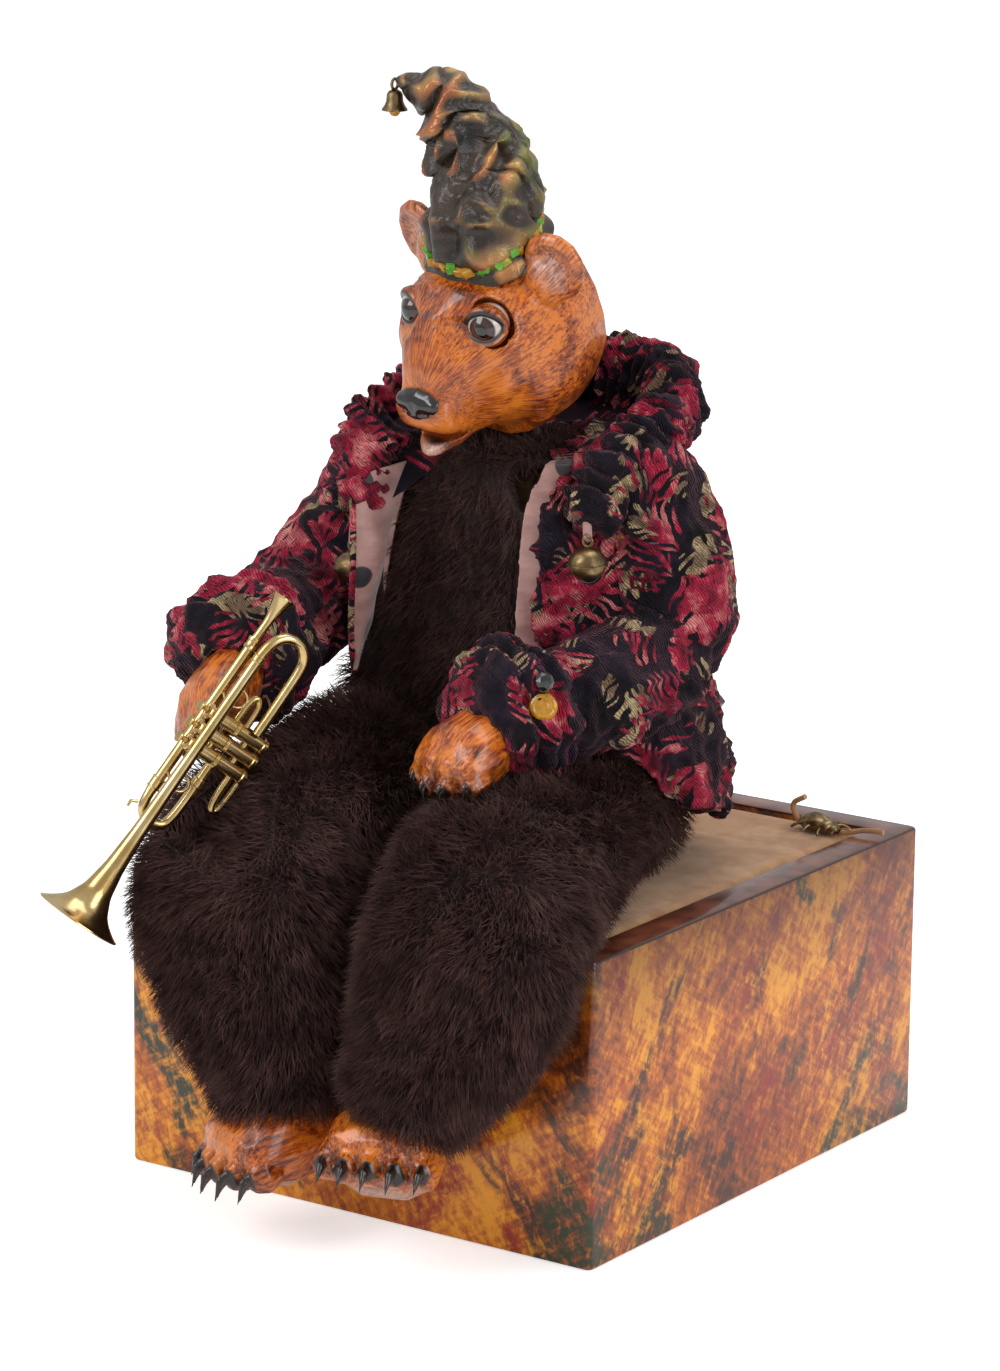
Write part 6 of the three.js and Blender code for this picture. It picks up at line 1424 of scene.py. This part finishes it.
@dataclass
class BoxWork:
    """Painted case, suede cover, crank knob and the hidden works."""

    half: tuple[float, float] = (137.0, 148.0)
    height: float = 152.0
    wall: float = 18.0
    corner: float = 3.0
    edge: float = 1.6
    seat_top: float = 150.0
    hinge_y: float = 78.0
    play: float = 0.6
    beetle_at: tuple[float, float] = (101.0, 112.0)

    def outline(self, inset: float, corner: float) -> list[tuple[float, float]]:
        """Returns a rounded rectangle inside the box's outline.

        Args:
            inset: How far inside in millimetres.
            corner: Its corner radius in millimetres.
        """
        hx, hy = self.half[0] - inset - corner, self.half[1] - inset - corner
        rows = []
        for k, (sx, sy) in enumerate(((1, 1), (-1, 1), (-1, -1), (1, -1))):
            for step in range(7):
                angle = math.pi / 2 * (k + step / 6)
                rows.append((sx * hx + corner * math.cos(angle), sy * hy + corner * math.sin(angle)))
        return rows

    def case(self) -> None:
        """Makes the four painted sides with rounded edges."""
        e = self.edge
        levels = [(e, 0.0), (0.3 * e, 0.3 * e), (0.0, e), (0.0, self.height - e),
                  (0.3 * e, self.height - 0.3 * e), (e, self.height), (self.wall - 1.2, self.height),
                  (self.wall - 0.35, self.height - 0.35), (self.wall, self.height - 1.2), (self.wall, 9.0),
                  (self.wall, 0.6)]
        rows, faces = [], []
        for inset, z in levels:
            corner = self.corner if inset < 5 else 0.5
            rows += [(x, y, z) for x, y in self.outline(inset, corner)]
        count = len(rows) // len(levels)
        for i in range(len(levels)):
            for j in range(count):
                a, b = i * count + j, i * count + (j + 1) % count
                up = (i + 1) % len(levels) * count
                faces.append((a, b, up + (j + 1) % count, up + j))
        case = from_arrays("painted_case", np.array(rows) * MM, faces)
        smooth_shade(case, 35)
        dress(case, Finish.BOX, "painted_wood", "box", "box_front", "box_back", "box_right", "box_left")

    def suede(self) -> None:
        """Lays the suede over the seat and the hatch as one cover."""
        half_x, half_y = (side - self.wall - self.play for side in self.half)
        xs, ys = np.linspace(-half_x, half_x, 100), np.linspace(-half_y, half_y, 110)
        flat = np.array([(x, y, 0.0) for y in ys for x in xs])
        rim = np.minimum(half_x - np.abs(flat[:, 0]), half_y - np.abs(flat[:, 1]))
        height = self.seat_top - 2.6 + 3.4 * ease(rim, 0.0, 7.0)
        height += 0.35 * noise(flat, 34, 3) + 0.2 * noise(flat, 12, 4)
        height -= 0.8 * np.exp(-((flat[:, 1] - self.hinge_y) / 1.6) ** 2)
        flat[:, 2] = height
        under = flat.copy()
        under[:, 2] = self.seat_top - 4.2
        wide, count = len(xs), len(flat)
        faces = []
        for i in range(len(ys) - 1):
            for j in range(wide - 1):
                a = i * wide + j
                faces.append((a, a + 1, a + wide + 1, a + wide))
                faces.append((count + a + wide, count + a + wide + 1, count + a + 1, count + a))
        edge = list(range(wide)) + [i * wide + wide - 1 for i in range(1, len(ys))]
        edge += [(len(ys) - 1) * wide + j for j in range(wide - 2, -1, -1)]
        edge += [i * wide for i in range(len(ys) - 2, 0, -1)]
        for a, b in zip(edge, edge[1:] + edge[:1]):
            faces.append((b, a, count + a, count + b))
        cover = from_arrays("suede_cover", np.vstack([flat, under]) * MM, faces)
        smooth_shade(cover, 60)
        dress(cover, Finish.SUEDE, "suede")
        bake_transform(cover)
        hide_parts("seat_suede", "hatch_suede")

    def knob(self) -> None:
        """Rounds the lobed crank knob."""
        knob = soft_copy("crank_knob", "lobed_knob", 0.7, 4)
        smooth_shade(knob)
        dress(knob, Finish.DARK_WOOD, "dark_wood", "knob", "crank_knob")

    def torso_works(self) -> None:
        """Eases the front corners of the torso's frame and neck plate, which lie under the fur."""
        for node, name in (("torso_frame", "torso_wood"), ("neck_plate", "neck_wood")):
            piece = copy_of(node, name)
            points = read_points(piece)
            high = ease(points[:, 2], 0.318, 0.334)
            points[:, 1] = np.maximum(points[:, 1], points[:, 1] * (1 - high) - 0.02 * high)
            write_points(piece, points)
            dress(piece, Finish.PLAIN_WOOD, "plain_wood", "box", node)

    def beetle(self) -> None:
        """Makes the brass beetle and the thong through it."""
        x, y = self.beetle_at
        place = shifted(x, y, self.seat_top + 2.4) @ rotation("Z", 70)
        parts = []
        for centre, size in (((0, 3.2, 2.8), (7.6, 10.2, 5.0)), ((0, -6.6, 2.6), (5.4, 3.8, 3.8)),
                             ((0, -11.0, 2.2), (3.4, 3.0, 2.6))):
            deselect()
            bpy.ops.mesh.primitive_uv_sphere_add(segments=40, ring_count=24, radius=MM)
            lump = bpy.context.object
            points = read_points(lump) * np.array(size) + np.array(centre) * MM
            if size[0] > 6:
                groove = np.exp(-(points[:, 0] / (0.45 * MM)) ** 2) * (points[:, 2] > 3 * MM)
                points[:, 2] -= groove * 0.8 * MM
            points[:, 2] = np.maximum(points[:, 2], 0.4 * MM)
            write_points(lump, points)
            smooth_shade(lump)
            parts.append(settle(lump, place))
        for side in (-1, 1):
            for root, reach in ((-6, -1.3), (0, 0.2), (5, 1.5)):
                leg = [(side * 3, root, 1.8), (side * 6, root + reach, 3.4),
                       (side * 8.8, root + reach * 2, 3.4), (side * 10.6, root + reach * 3.6, 0.6)]
                parts.append(sweep("leg", leg, 0.75, place, 3))
            feeler = [(side * 1.2, -12.8, 2.4), (side * 3.4, -15.5, 3.4), (side * 6.2, -16.4, 2.2)]
            parts.append(sweep("feeler", feeler, 0.4, place, 2))
        beetle = joined("brass_beetle", parts)
        dress(beetle, Finish.OLD_BRASS, "old_brass", "hatch", "pull_beetle")
        way = ((-0.3, -0.1, 0.62), (-0.6, -0.05, 0.4), (-0.45, 0, 0.06), (0, 0, 0), (0.5, 0.02, 0),
               (0.95, 0.08, 0.1), (1.35, 0.12, 0.12))
        route = [(x + ahead * 26, y + across * 26, self.seat_top + 2.7 + up * 26)
                 for ahead, across, up in way]
        line = Route([np.array(p) * MM for p in route], 8)
        thong = sweep("suede_thong", [tuple(p / MM) for p in line.line], 1.4, sides=3)
        dress(thong, Finish.SUEDE, "suede", "hatch", "pull_thong")

    def build(self) -> None:
        """Builds the box and finishes the works that stay as they are."""
        self.case()
        self.suede()
        self.knob()
        self.torso_works()
        self.beetle()


# Fur


@dataclass
class FurCoat:
    """Long dark pile on a stuffed form."""

    node: str
    count: int
    length: float = 15.0
    root: float = 0.27
    sunk: float = 4.2
    layers: int = 2
    seed: int = SEED
    lift: float = 0.95
    lie: float = 0.65
    stray: float = 0.24
    shortest: float = 4.0
    per_tuft: int = 14
    under: float = 0.002

    def flow(self, points: np.ndarray) -> np.ndarray:
        """Returns the way the pile lies at each point."""
        if self.node == "torso_fur":
            way = np.tile([0.0, -0.15, -1.0], (len(points), 1))
        else:
            down = ease(-points[:, 1], 0.11, 0.17)[:, None]
            way = (1 - down) * np.array([0, -1, -0.35]) + down * np.array([0, -0.12, -1])
        return unit(way)

    def sample(self, base: bpy.types.Object) -> tuple[np.ndarray, np.ndarray]:
        """Returns evenly spread roots on the form and the normals there."""
        random = np.random.default_rng(self.seed)
        points, normals = read_points(base), read_normals(base)
        base.data.calc_loop_triangles()
        corners = np.empty(len(base.data.loop_triangles) * 3, dtype=np.int64)
        base.data.loop_triangles.foreach_get("vertices", corners)
        corners = corners.reshape(-1, 3)
        a, b, c = (points[corners[:, k]] for k in range(3))
        area = np.linalg.norm(np.cross(b - a, c - a), axis=1)
        chosen = random.choice(len(corners), self.count, p=area / area.sum())
        u, v = random.random(self.count), random.random(self.count)
        over = u + v > 1
        u[over], v[over] = 1 - u[over], 1 - v[over]
        share = np.column_stack([1 - u - v, u, v])[:, :, None]
        at, normal = ((share * rows[corners[chosen]]).sum(axis=1) for rows in (points, normals))
        return at, unit(normal)

    def room(self, at: np.ndarray, normal: np.ndarray, blockers: tuple[str, ...]) -> np.ndarray:
        """Returns the free distance outward at each root, at most the pile's length.

        Args:
            at: The roots.
            normal: The way outward there.
            blockers: Nodes the pile must stay out of.
        """
        free = np.full(len(at), self.length * MM)
        for name in blockers:
            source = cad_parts[name]
            low, high = (np.array(corner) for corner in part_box(name))
            inside = np.all((at > low - 0.02) & (at < high + 0.02), axis=1)
            tree = BVHTree.FromPolygons([source.matrix_world @ v.co for v in source.data.vertices],
                                        [tuple(p.vertices) for p in source.data.polygons])
            for i in np.flatnonzero(inside):
                start = Vector(at[i] - normal[i] * self.under)
                hit = tree.ray_cast(start, Vector(normal[i]), self.length * MM + self.under)
                if hit[0] is not None:
                    free[i] = min(free[i], max(0.0, hit[3] - self.under))
        return free

    def strands(self, at: np.ndarray, normal: np.ndarray, free: np.ndarray, layer: int) -> bpy.types.Object:
        """Returns the pile as one mesh of fine tapered strands.

        Args:
            at: The roots.
            normal: The way outward at each root.
            free: The free distance outward there.
            layer: The layer's number.
        """
        random = np.random.default_rng(self.seed + 1 + layer)
        keep = free > self.shortest * MM
        at, normal, free = at[keep], normal[keep], free[keep]
        flow = self.flow(at)
        flow += 0.55 * np.column_stack([noise(at, 0.022, self.seed + k) for k in (3, 4, 5)])
        way = unit(self.lift * normal + self.lie * flow + self.stray * random.normal(size=at.shape))
        length = self.length * MM * random.uniform(0.7, 1.15, len(at))
        length = np.minimum(length, free / np.maximum(0.15, (way * normal).sum(axis=1)))
        tuft = random.choice(len(at), max(1, len(at) // self.per_tuft), replace=False)
        tree = kdtree.KDTree(len(tuft))
        for i, j in enumerate(tuft):
            tree.insert(at[j], i)
        tree.balance()
        lead = np.array([tuft[tree.find(p)[1]] for p in at])
        middle = at + way * (length * 0.55)[:, None] + normal * (0.06 * length)[:, None]
        tip = at + way * length[:, None]
        gather = random.uniform(0.0, 0.6, len(at))[:, None]
        tip += gather * (at[lead] + way[lead] * length[lead][:, None] - tip)
        side = np.cross(way, normal)
        side /= np.maximum(np.linalg.norm(side, axis=1, keepdims=True), 1e-6)
        third = np.cross(way, side)
        rows = []
        for centre, share in ((at - normal * 0.6 * MM, 1.0), (middle, 0.72)):
            for k in range(3):
                angle = 2 * math.pi * k / 3
                out = side * math.cos(angle) + third * math.sin(angle)
                rows.append(centre + out * self.root * share * MM)
        rows.append(tip)
        points = np.stack(rows, axis=1).reshape(-1, 3)
        pattern = np.array([[0, 2, 1, -1], [0, 1, 4, 3], [1, 2, 5, 4], [2, 0, 3, 5], [3, 4, 6, -1],
                            [4, 5, 6, -1], [5, 3, 6, -1]])
        faces = (pattern[None] + (np.arange(len(at)) * 7)[:, None, None]).reshape(-1, 4).tolist()
        sizes = np.tile([3, 4, 4, 4, 3, 3, 3], len(at))
        name = f"{self.node}_pile_{layer + 1}"
        return from_arrays(name, points, [face[:size] for face, size in zip(faces, sizes)])

    def build(self, body: str, *blockers: str) -> None:
        """Builds the backing and the two layers of pile on it.

        Args:
            body: The body it moves with.
            blockers: Nodes the pile must stay out of.
        """
        base = soft_copy(self.node, self.node + "_backing", 2.4, 4)
        points, normals = read_points(base), read_normals(base)
        if self.node == "torso_fur":
            points = push(points / MM, (-56, -34, 264), (24, 28, 52), (-15, -6, 0))
            points = push(points, (-66, -44, 226), (24, 28, 20), (-16, -4, 4)) * MM
        if self.node == "right_leg":
            points = push(points / MM, (-42, -94, 226), (24, 30, 22), (-5, 0, 14)) * MM
        lumps = noise(points, 0.02, self.seed, 2)
        write_points(base, points - normals * ((self.sunk - 1.6 * lumps) * MM)[:, None])
        smooth_shade(base)
        dress(base, Finish.FUR, "fur", body, self.node)
        at, normal = self.sample(base)
        free = self.room(at, normal, blockers)
        for layer in range(self.layers):
            part = slice(layer, None, self.layers)
            pile = self.strands(at[part], normal[part], free[part], layer)
            dress(pile, Finish.PILE, "fur", body)


# Paws


@dataclass
class ClawedPaw:
    """Carved paw or foot with toes, grooves and curved claws."""

    node: str
    body: str
    at: Triple
    turn: float
    droop: float
    roll: float
    long: float
    half_wide: float
    half_tall: float
    toes: int
    toe_radius: float
    claw: float = 1.0
    stretch: float = 1.0
    silver: float = 0.0

    def place(self) -> Matrix:
        """Returns where the paw's own frame stands."""
        turn = rotation("Z", self.turn) @ rotation("X", self.droop) @ rotation("Y", self.roll)
        return shifted(*self.at) @ turn

    def toe(self, index: float) -> np.ndarray:
        """Returns the middle of a toe, or of the gap between two, in the paw's frame."""
        share = 2 * index / (self.toes - 1) - 1
        return np.array([share * (self.half_wide - self.toe_radius * 0.9),
                         -self.long * (0.93 - 0.14 * share * share), -self.half_tall * 0.3])

    def build(self) -> None:
        """Carves the paw and adds its claws."""
        place = self.place()
        paw = soft_copy(self.node, self.node + "_carved", 0.9, 5)
        at = moved(read_points(paw), place.inverted()) / MM
        at[:, 2] = (at[:, 2] + self.half_tall) * self.stretch - self.half_tall
        r = self.toe_radius
        share = np.clip(at[:, 0] / (self.half_wide - 0.9 * r), -1, 1)
        past = -self.long * (0.93 - 0.14 * share * share) - 0.8 * r - at[:, 1]
        at[:, 1] += np.maximum(past, 0) * (1 - self.claw)
        shade = np.zeros(len(at))
        # Painted shade: the grooves carved between the toes are darkened in the paint.
        for i in range(self.toes - 1):
            gap = self.toe(i + 0.5)
            centre = (gap[0], gap[1] + 0.2 * r, gap[2] + 0.6 * r)
            at = push(at, centre, (0.26 * r, 1.9 * r, 1.0 * r), (0, 0.5, -0.42 * r))
            shade += 0.9 * near(at, centre, (0.3 * r, 2.2 * r, 1.4 * r))
        for i in range(self.toes):
            toe = self.toe(i)
            at = push(at, (toe[0], toe[1] + 0.3 * r, toe[2] + r), (0.5 * r, r, 0.6 * r), (0, 0, 0.14 * r))
            # Each toe is also darker where its claw starts.
            shade += 0.5 * near(at, (toe[0], toe[1] - 0.9 * r, toe[2] + 0.4 * r), (0.6 * r, 0.5 * r, 0.5 * r))
        write_points(paw, moved(at * MM, place))
        smooth_shade(paw)
        flow = np.column_stack([at[:, 0] * MM, at[:, 2] * MM * 0.6, at[:, 1] * MM])
        sole = ease(-at[:, 2], 0.55 * self.half_tall, 0.8 * self.half_tall)
        shade += 0.3 * ease(noise(at, 9, 3, 2), 0.1, 0.8)
        silver = near(at, (0, -0.86 * self.long, -0.1 * self.half_tall),
                      (self.half_wide, 0.22 * self.long, 0.6 * self.half_tall))
        pink = 0.8 * sole + self.silver * silver * ease(noise(at, 5, 12, 2), 0.05, 0.5)
        coat_layers(paw, flow, shade, pink, ease(past, 0.4, 2.2))
        dress(paw, Finish.CARVED, "carved_wood", self.body, self.node)
        claws = []
        for i in range(self.toes):
            x, y, z = self.toe(i)
            c = self.claw
            shape = ((0.55, 0.45), (0.85 + 0.4 * c, 0.42), (0.95 + 0.85 * c, 0.42 - 0.52 * c),
                     (0.95 + 1.1 * c, 0.42 - 1.27 * c))
            claw = [(x, y - forward * r, z + rise * r) for forward, rise in shape]
            claws.append(sweep("claw", claw, (0.24 + 0.14 * c) * r, place, 4, [1.0, 0.95, 0.62, 0.1]))
        dress(joined(self.node + "_claws", claws), Finish.HORN, "carved_wood", self.body)


# Trumpet


@dataclass
class Trumpet:
    """Brass trumpet with three valves, slides and braces."""

    tube: float = 2.7
    lead_z: float = -9.45
    valve_z: float = -4.725
    pitch: float = 8.8
    rim: float = 21.0
    reach: float = 98.0

    def place(self) -> Matrix:
        """Returns where the trumpet's own frame stands."""
        bellward = Vector((-0.35, -0.48, -0.8)).normalized()
        sideways = bellward.cross(Vector((0.41, 0.69, -0.6))).normalized()
        down = sideways.cross(bellward)
        turn = Matrix((bellward, down, sideways)).transposed().to_4x4()
        return Matrix.Translation(Vector(figure(-0.2885, -0.983, 0.332))) @ turn

    def lathe(self, name: str, profile: list[tuple[float, float]], y: float, z: float, steps: int = 48,
              angle: float = 40) -> bpy.types.Object:
        """Returns a form spun about a line that runs toward the bell.

        Args:
            name: Its name.
            profile: Pairs of radius and distance along the line in millimetres.
            y: The line's place down the valves.
            z: The line's place across them.
            steps: Faces round it.
            angle: Edges sharper than this stay crisp.
        """
        place = self.place() @ shifted(0, y, z) @ rotation("Y", 90)
        return turned(name, profile, place, steps, angle)

    def ferrule(self, x: float, y: float, z: float, long: float = 5.0) -> bpy.types.Object:
        """Returns a ringed sleeve round a tube."""
        r = self.tube
        shape = [(r, x), (r + 0.7, x), (r + 0.9, x + 0.4), (r + 0.5, x + 0.8), (r + 0.4, x + long - 0.8),
                 (r + 0.9, x + long - 0.4), (r + 0.7, x + long), (r, x + long)]
        return self.lathe("ferrule", shape, y, z, 32, 30)

    def bell(self) -> list[bpy.types.Object]:
        """Returns the bell and the bow behind it."""
        stops = [(-0.56, 0.128), (0.1, 0.14), (0.5, 0.18), (0.7, 0.24), (0.84, 0.35), (0.93, 0.55),
                 (0.98, 0.82), (1, 1)]
        along = np.linspace(-0.56, 1, 60)
        along = np.concatenate([along[along < 0.6], np.linspace(0.6, 1, 30)])
        radius = np.interp(along, [s[0] for s in stops], [s[1] for s in stops])
        for _ in range(2):
            radius[1:-1] = (radius[:-2] + 2 * radius[1:-1] + radius[2:]) / 4
        outer = [(r * self.rim, t * self.reach) for t, r in zip(along, radius)]
        inner = [(max(0.4, r - 0.7), t - 0.05) for r, t in outer if t > 0.55 * self.reach][::-1]
        x, y = outer[-1]
        lip = [(x + 0.5, y + 0.1), (x + 0.7, y + 0.6), (x + 0.2, y + 1.0)]
        flare = self.lathe("bell", outer + lip + inner + [(0, inner[-1][1])], 0, 0, 80, 50)
        back = -0.56 * self.reach
        bow = [(back + 3, 0, 0), (back - 2, 0, 0), (back - 8, 1.5, 0), (back - 13, 7, 0), (back - 13, 15, 0),
               (back - 8, 20.5, 0), (back - 2, 22, 0), (-2 * self.pitch - 3, 22, 0)]
        return [flare, sweep("bow", bow, self.tube, self.place(), 5), self.ferrule(back + 2, 0, 0, 4)]

    def lead(self) -> list[bpy.types.Object]:
        """Returns the mouthpiece, the lead pipe and the tuning slide."""
        y, z = -self.tube, self.lead_z
        mouth = [(2.4, -82), (5.2, -82), (5.5, -81.4), (5.3, -80.6), (4.6, -79.5), (3.3, -74), (2.4, -70),
                 (2.1, -66), (2.3, -60), (2.5, -58)]
        cup = [(0, -76), (1.2, -77), (2.4, -82)]
        pipe = [(3.4, -58), (3.6, -57), (3.2, -56), (3.2, -54), (3.6, -53), (3.3, -52), (2.7, -52), (2.7, 30),
                (0, 30)]
        pieces = [self.lathe("mouthpiece", cup + mouth + pipe, y, z, 48, 35)]
        pieces.append(self.ferrule(22, y, z, 6))
        slide = [(28, y, z), (36, y, z), (41, y + 3, z), (42.5, y + 9, z), (41, y + 15, z), (36, y + 18, z),
                 (20, y + 18, z), (2, y + 18, z)]
        pieces.append(sweep("slide", slide, 2.5, self.place(), 5))
        pieces.append(self.ferrule(12, y + 18, z, 5))
        key = [(38, y + 17.5, z - 2.5), (36, y + 20.5, z - 3.4), (32, y + 21, z - 2.6)]
        pieces.append(sweep("water_key", key, 0.8, self.place(), 3))
        hook = [(37, y - 2.4, z), (38.5, y - 5.5, z), (41.5, y - 5.8, z)]
        pieces.append(sweep("rest_hook", hook, 0.9, self.place(), 3))
        return pieces

    def valves(self) -> list[bpy.types.Object]:
        """Returns the valve casings, the small slides, rings and braces."""
        pieces = []
        columns = [(i - 2) * self.pitch for i in range(3)]
        z = self.valve_z
        for x in columns:
            place = self.place() @ shifted(x, 0, z) @ rotation("X", -90)
            shape = [(1.7, -2.6), (1.7, -4.4), (3.2, -4.4), (3.9, -4.0), (4.3, -3.6), (4.3, -2.6),
                     (3.8, -2.2), (3.8, 11.4), (4.3, 11.8), (3.9, 12.3), (4.3, 12.8), (3.9, 13.3),
                     (4.3, 13.8), (3.8, 14.3), (3.8, 28.6), (4.3, 29.0), (4.3, 30.8), (3.6, 31.6),
                     (1.4, 32.2), (1.2, 33.4), (0, 33.6)]
            pieces.append(turned("casing", shape, place, 40, 30))
        for x in columns[:2]:
            for depth in (7.0, 22.0):
                ends = [(x, depth, z), (x + self.pitch, depth, z)]
                pieces.append(sweep("knuckle", ends, 2.0, self.place(), 4))
        far, near_x = columns[2], columns[0]
        third = [(far, 25, z), (far + 12, 25, z), (far + 19, 25.4, z), (far + 22.5, 28, z),
                 (far + 19, 30.6, z), (far + 12, 31, z), (far + 1, 31, z)]
        pieces.append(sweep("third_slide", third, 1.9, self.place(), 4))
        first = [(near_x, 11, z), (near_x - 10, 11, z), (near_x - 15, 11.2, z), (near_x - 18.4, 14, z),
                 (near_x - 15, 17, z), (near_x - 10, 17.2, z), (near_x, 17.2, z)]
        pieces.append(sweep("first_slide", first, 1.9, self.place(), 4))
        for x, y in ((near_x - 12.3, 5.6), (far + 18.5, 5.6)):
            pieces.append(sweep("ring", hoop((x, y, z), 4.4, "xy", 24), 0.85, self.place(), 3))
        for x in (-0.28 * self.reach, 18.5):
            brace = [(x, 0, 0), (x + 1.5, -1.5, -1.5), (x, -1.6, -4.7), (x - 1.5, -1.7, -8),
                     (x, -self.tube, self.lead_z)]
            pieces.append(sweep("brace", brace, 0.8, self.place(), 3))
        return pieces

    def build(self) -> None:
        """Builds the trumpet and its three valve buttons."""
        horn = joined("trumpet_horn", self.bell() + self.lead() + self.valves())
        dress(horn, Finish.BRASS, "brass", "arm", "trumpet_body")
        for i in range(3):
            x = (i - 2) * self.pitch
            place = self.place() @ shifted(x, 0, self.valve_z) @ rotation("X", -90)
            shape = [(0, -10.1), (2.2, -10.1), (3.1, -9.7), (3.2, -8.9), (2.6, -8.3), (1.4, -7.9),
                     (1.3, -7.4), (1.3, -2.6), (0, -2.6)]
            button = turned(f"valve_button_{i + 1}", shape, place, 36, 40)
            dress(button, Finish.BRASS, "brass", f"valve_{i + 1}", f"valve_{i + 1}")


# The studio


@dataclass
class Studio:
    """Floor, soft lamps and the camera of the photograph."""

    floor_half: float = 6.0
    lens: float = 142.64
    camera_at: Triple = (1.46577, -2.16209, 0.88817)
    right: Triple = (0.82273, 0.56833, 0.01033)
    up: Triple = (-0.14628, 0.19413, 0.97001)
    back: Triple = (0.54928, -0.79957, 0.24285)

    def camera(self) -> None:
        """Stands the camera."""
        data = bpy.data.cameras.new("camera")
        data.lens = self.lens
        data.sensor_width = 36
        camera = linked("camera", data)
        turn = Matrix((self.right, self.up, self.back)).transposed().to_4x4()
        camera.matrix_world = Matrix.Translation(self.camera_at) @ turn
        bpy.context.scene.camera = camera

    def lamp(self, name: str, at: Triple, size: float, power: float) -> None:
        """Hangs a soft square lamp that looks at the figure.

        Args:
            name: The lamp's name.
            at: Its place in metres.
            size: Its width in metres.
            power: Its power in watts.
        """
        data = bpy.data.lights.new(name, "AREA")
        data.size = size
        data.energy = power
        lamp = linked(name, data)
        aim = Vector((0, 0, 0.25)) - Vector(at)
        lamp.matrix_world = Matrix.Translation(at) @ aim.to_track_quat("-Z", "Y").to_matrix().to_4x4()

    def build(self) -> None:
        """Builds the whole studio."""
        scene = bpy.context.scene
        scene.view_settings.view_transform = "Standard"
        self.camera()
        self.lamp("key", (-1.2, -2.2, 2.2), 1.8, 42)
        self.lamp("side", (2.6, -0.6, 1.4), 1.6, 26)
        self.lamp("top", (0.2, 0.6, 2.6), 1.8, 18)
        world = bpy.data.worlds.new("studio")
        scene.world = world
        world.use_nodes = True
        tree = world.node_tree
        tree.nodes.clear()
        path = tree.nodes.new("ShaderNodeLightPath")
        seen = tree.nodes.new("ShaderNodeMath")
        seen.operation = "MAXIMUM"
        tree.links.new(path.outputs["Is Camera Ray"], seen.inputs[0])
        tree.links.new(path.outputs["Is Transmission Ray"], seen.inputs[1])
        strength = tree.nodes.new("ShaderNodeMapRange")
        strength.inputs["To Min"].default_value = 0.55
        strength.inputs["To Max"].default_value = 1.0
        tree.links.new(seen.outputs[0], strength.inputs["Value"])
        light = tree.nodes.new("ShaderNodeBackground")
        tree.links.new(strength.outputs[0], light.inputs["Strength"])
        out = tree.nodes.new("ShaderNodeOutputWorld")
        tree.links.new(light.outputs[0], out.inputs[0])
        light.inputs["Color"].default_value = (1, 1, 1, 1)
        half = self.floor_half
        corners = np.array([[-half, -half, 0], [half, -half, 0], [half, half, 0], [-half, half, 0]])
        floor = from_arrays("floor", corners, [(0, 1, 2, 3)])
        g = Graph("pale_floor")
        path = g.node("LightPath", output=0)
        g.set(Base_Color=(0.93, 0.93, 0.93), Roughness=0.9, Emission_Color=(1, 1, 1),
              Emission_Strength=g.sum("MULTIPLY", path, 0.5))
        floor.data.materials.append(g.material)


# Nodes of the frame that keep their shape and only get a finish
PLAIN_NODES = {
    Finish.PLAIN_WOOD: ("box_bottom", "ledge", "seat_board", "hatch_board", "bearing_front", "bearing_rear",
                        "camshaft", "rod_guide", "head_disc"),
    Finish.BRASS: ("shaft_bush",),
    Finish.STEEL: ("crank_arm", "knob_pin", "neck_rod", "arm_push_rod", "shoulder_lever", "shoulder_axle"),
}


def main() -> None:
    Studio().build()
    for finish, names in PLAIN_NODES.items():
        for name in names:
            dress(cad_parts[name], finish, "")
    BoxWork().build()
    BearHead().build()
    CrumpledHat().build()
    VelvetJacket().build()
    cloth = ("jacket_body", "jacket_lining", "collar", "left_sleeve", "right_sleeve", "left_cuff",
             "right_cuff")
    around = [name for name in cloth if name != "right_sleeve"]
    FurCoat("torso_fur", 36000).build("box", *around, "left_leg", "right_leg", "head_shell", "seat_suede")
    others = ("seat_suede", "box_front", "box_left", "box_right", "left_foot", "right_foot", "left_paw",
              "right_paw", "torso_fur")
    FurCoat("left_leg", 39000, seed=SEED + 10).build("box", *cloth, "right_leg", *others)
    FurCoat("right_leg", 39000, seed=SEED + 20).build("box", *cloth, "left_leg", *others)
    paw = {"long": 43, "half_wide": 24, "half_tall": 17, "toes": 4, "toe_radius": 7, "claw": 0.3}
    foot = {"long": 58, "half_wide": 31, "half_tall": 21, "toes": 5, "toe_radius": 8, "claw": 0.8,
            "stretch": 1.14}
    left = tuple(figure(0.305, -0.6, 0.375) / MM)
    right = tuple(figure(-0.372, -0.735, 0.425) / MM)
    ClawedPaw("left_paw", "box", left, -12, 22, 0, **paw).build()
    ClawedPaw("right_paw", "arm", right, 8, 34, -40, **paw, silver=0.8).build()
    ClawedPaw("right_foot", "box", (-4.0, -169.1, 52.7), -25, 12, 0, **foot).build()
    ClawedPaw("left_foot", "box", (46.4, -170.8, 48.8), 18, -12, 0, **foot).build()
    Trumpet().build()


if __name__ == "__main__":
    logging.basicConfig(level=logging.INFO, format="%(relativeCreated)d ms %(message)s")
    main()
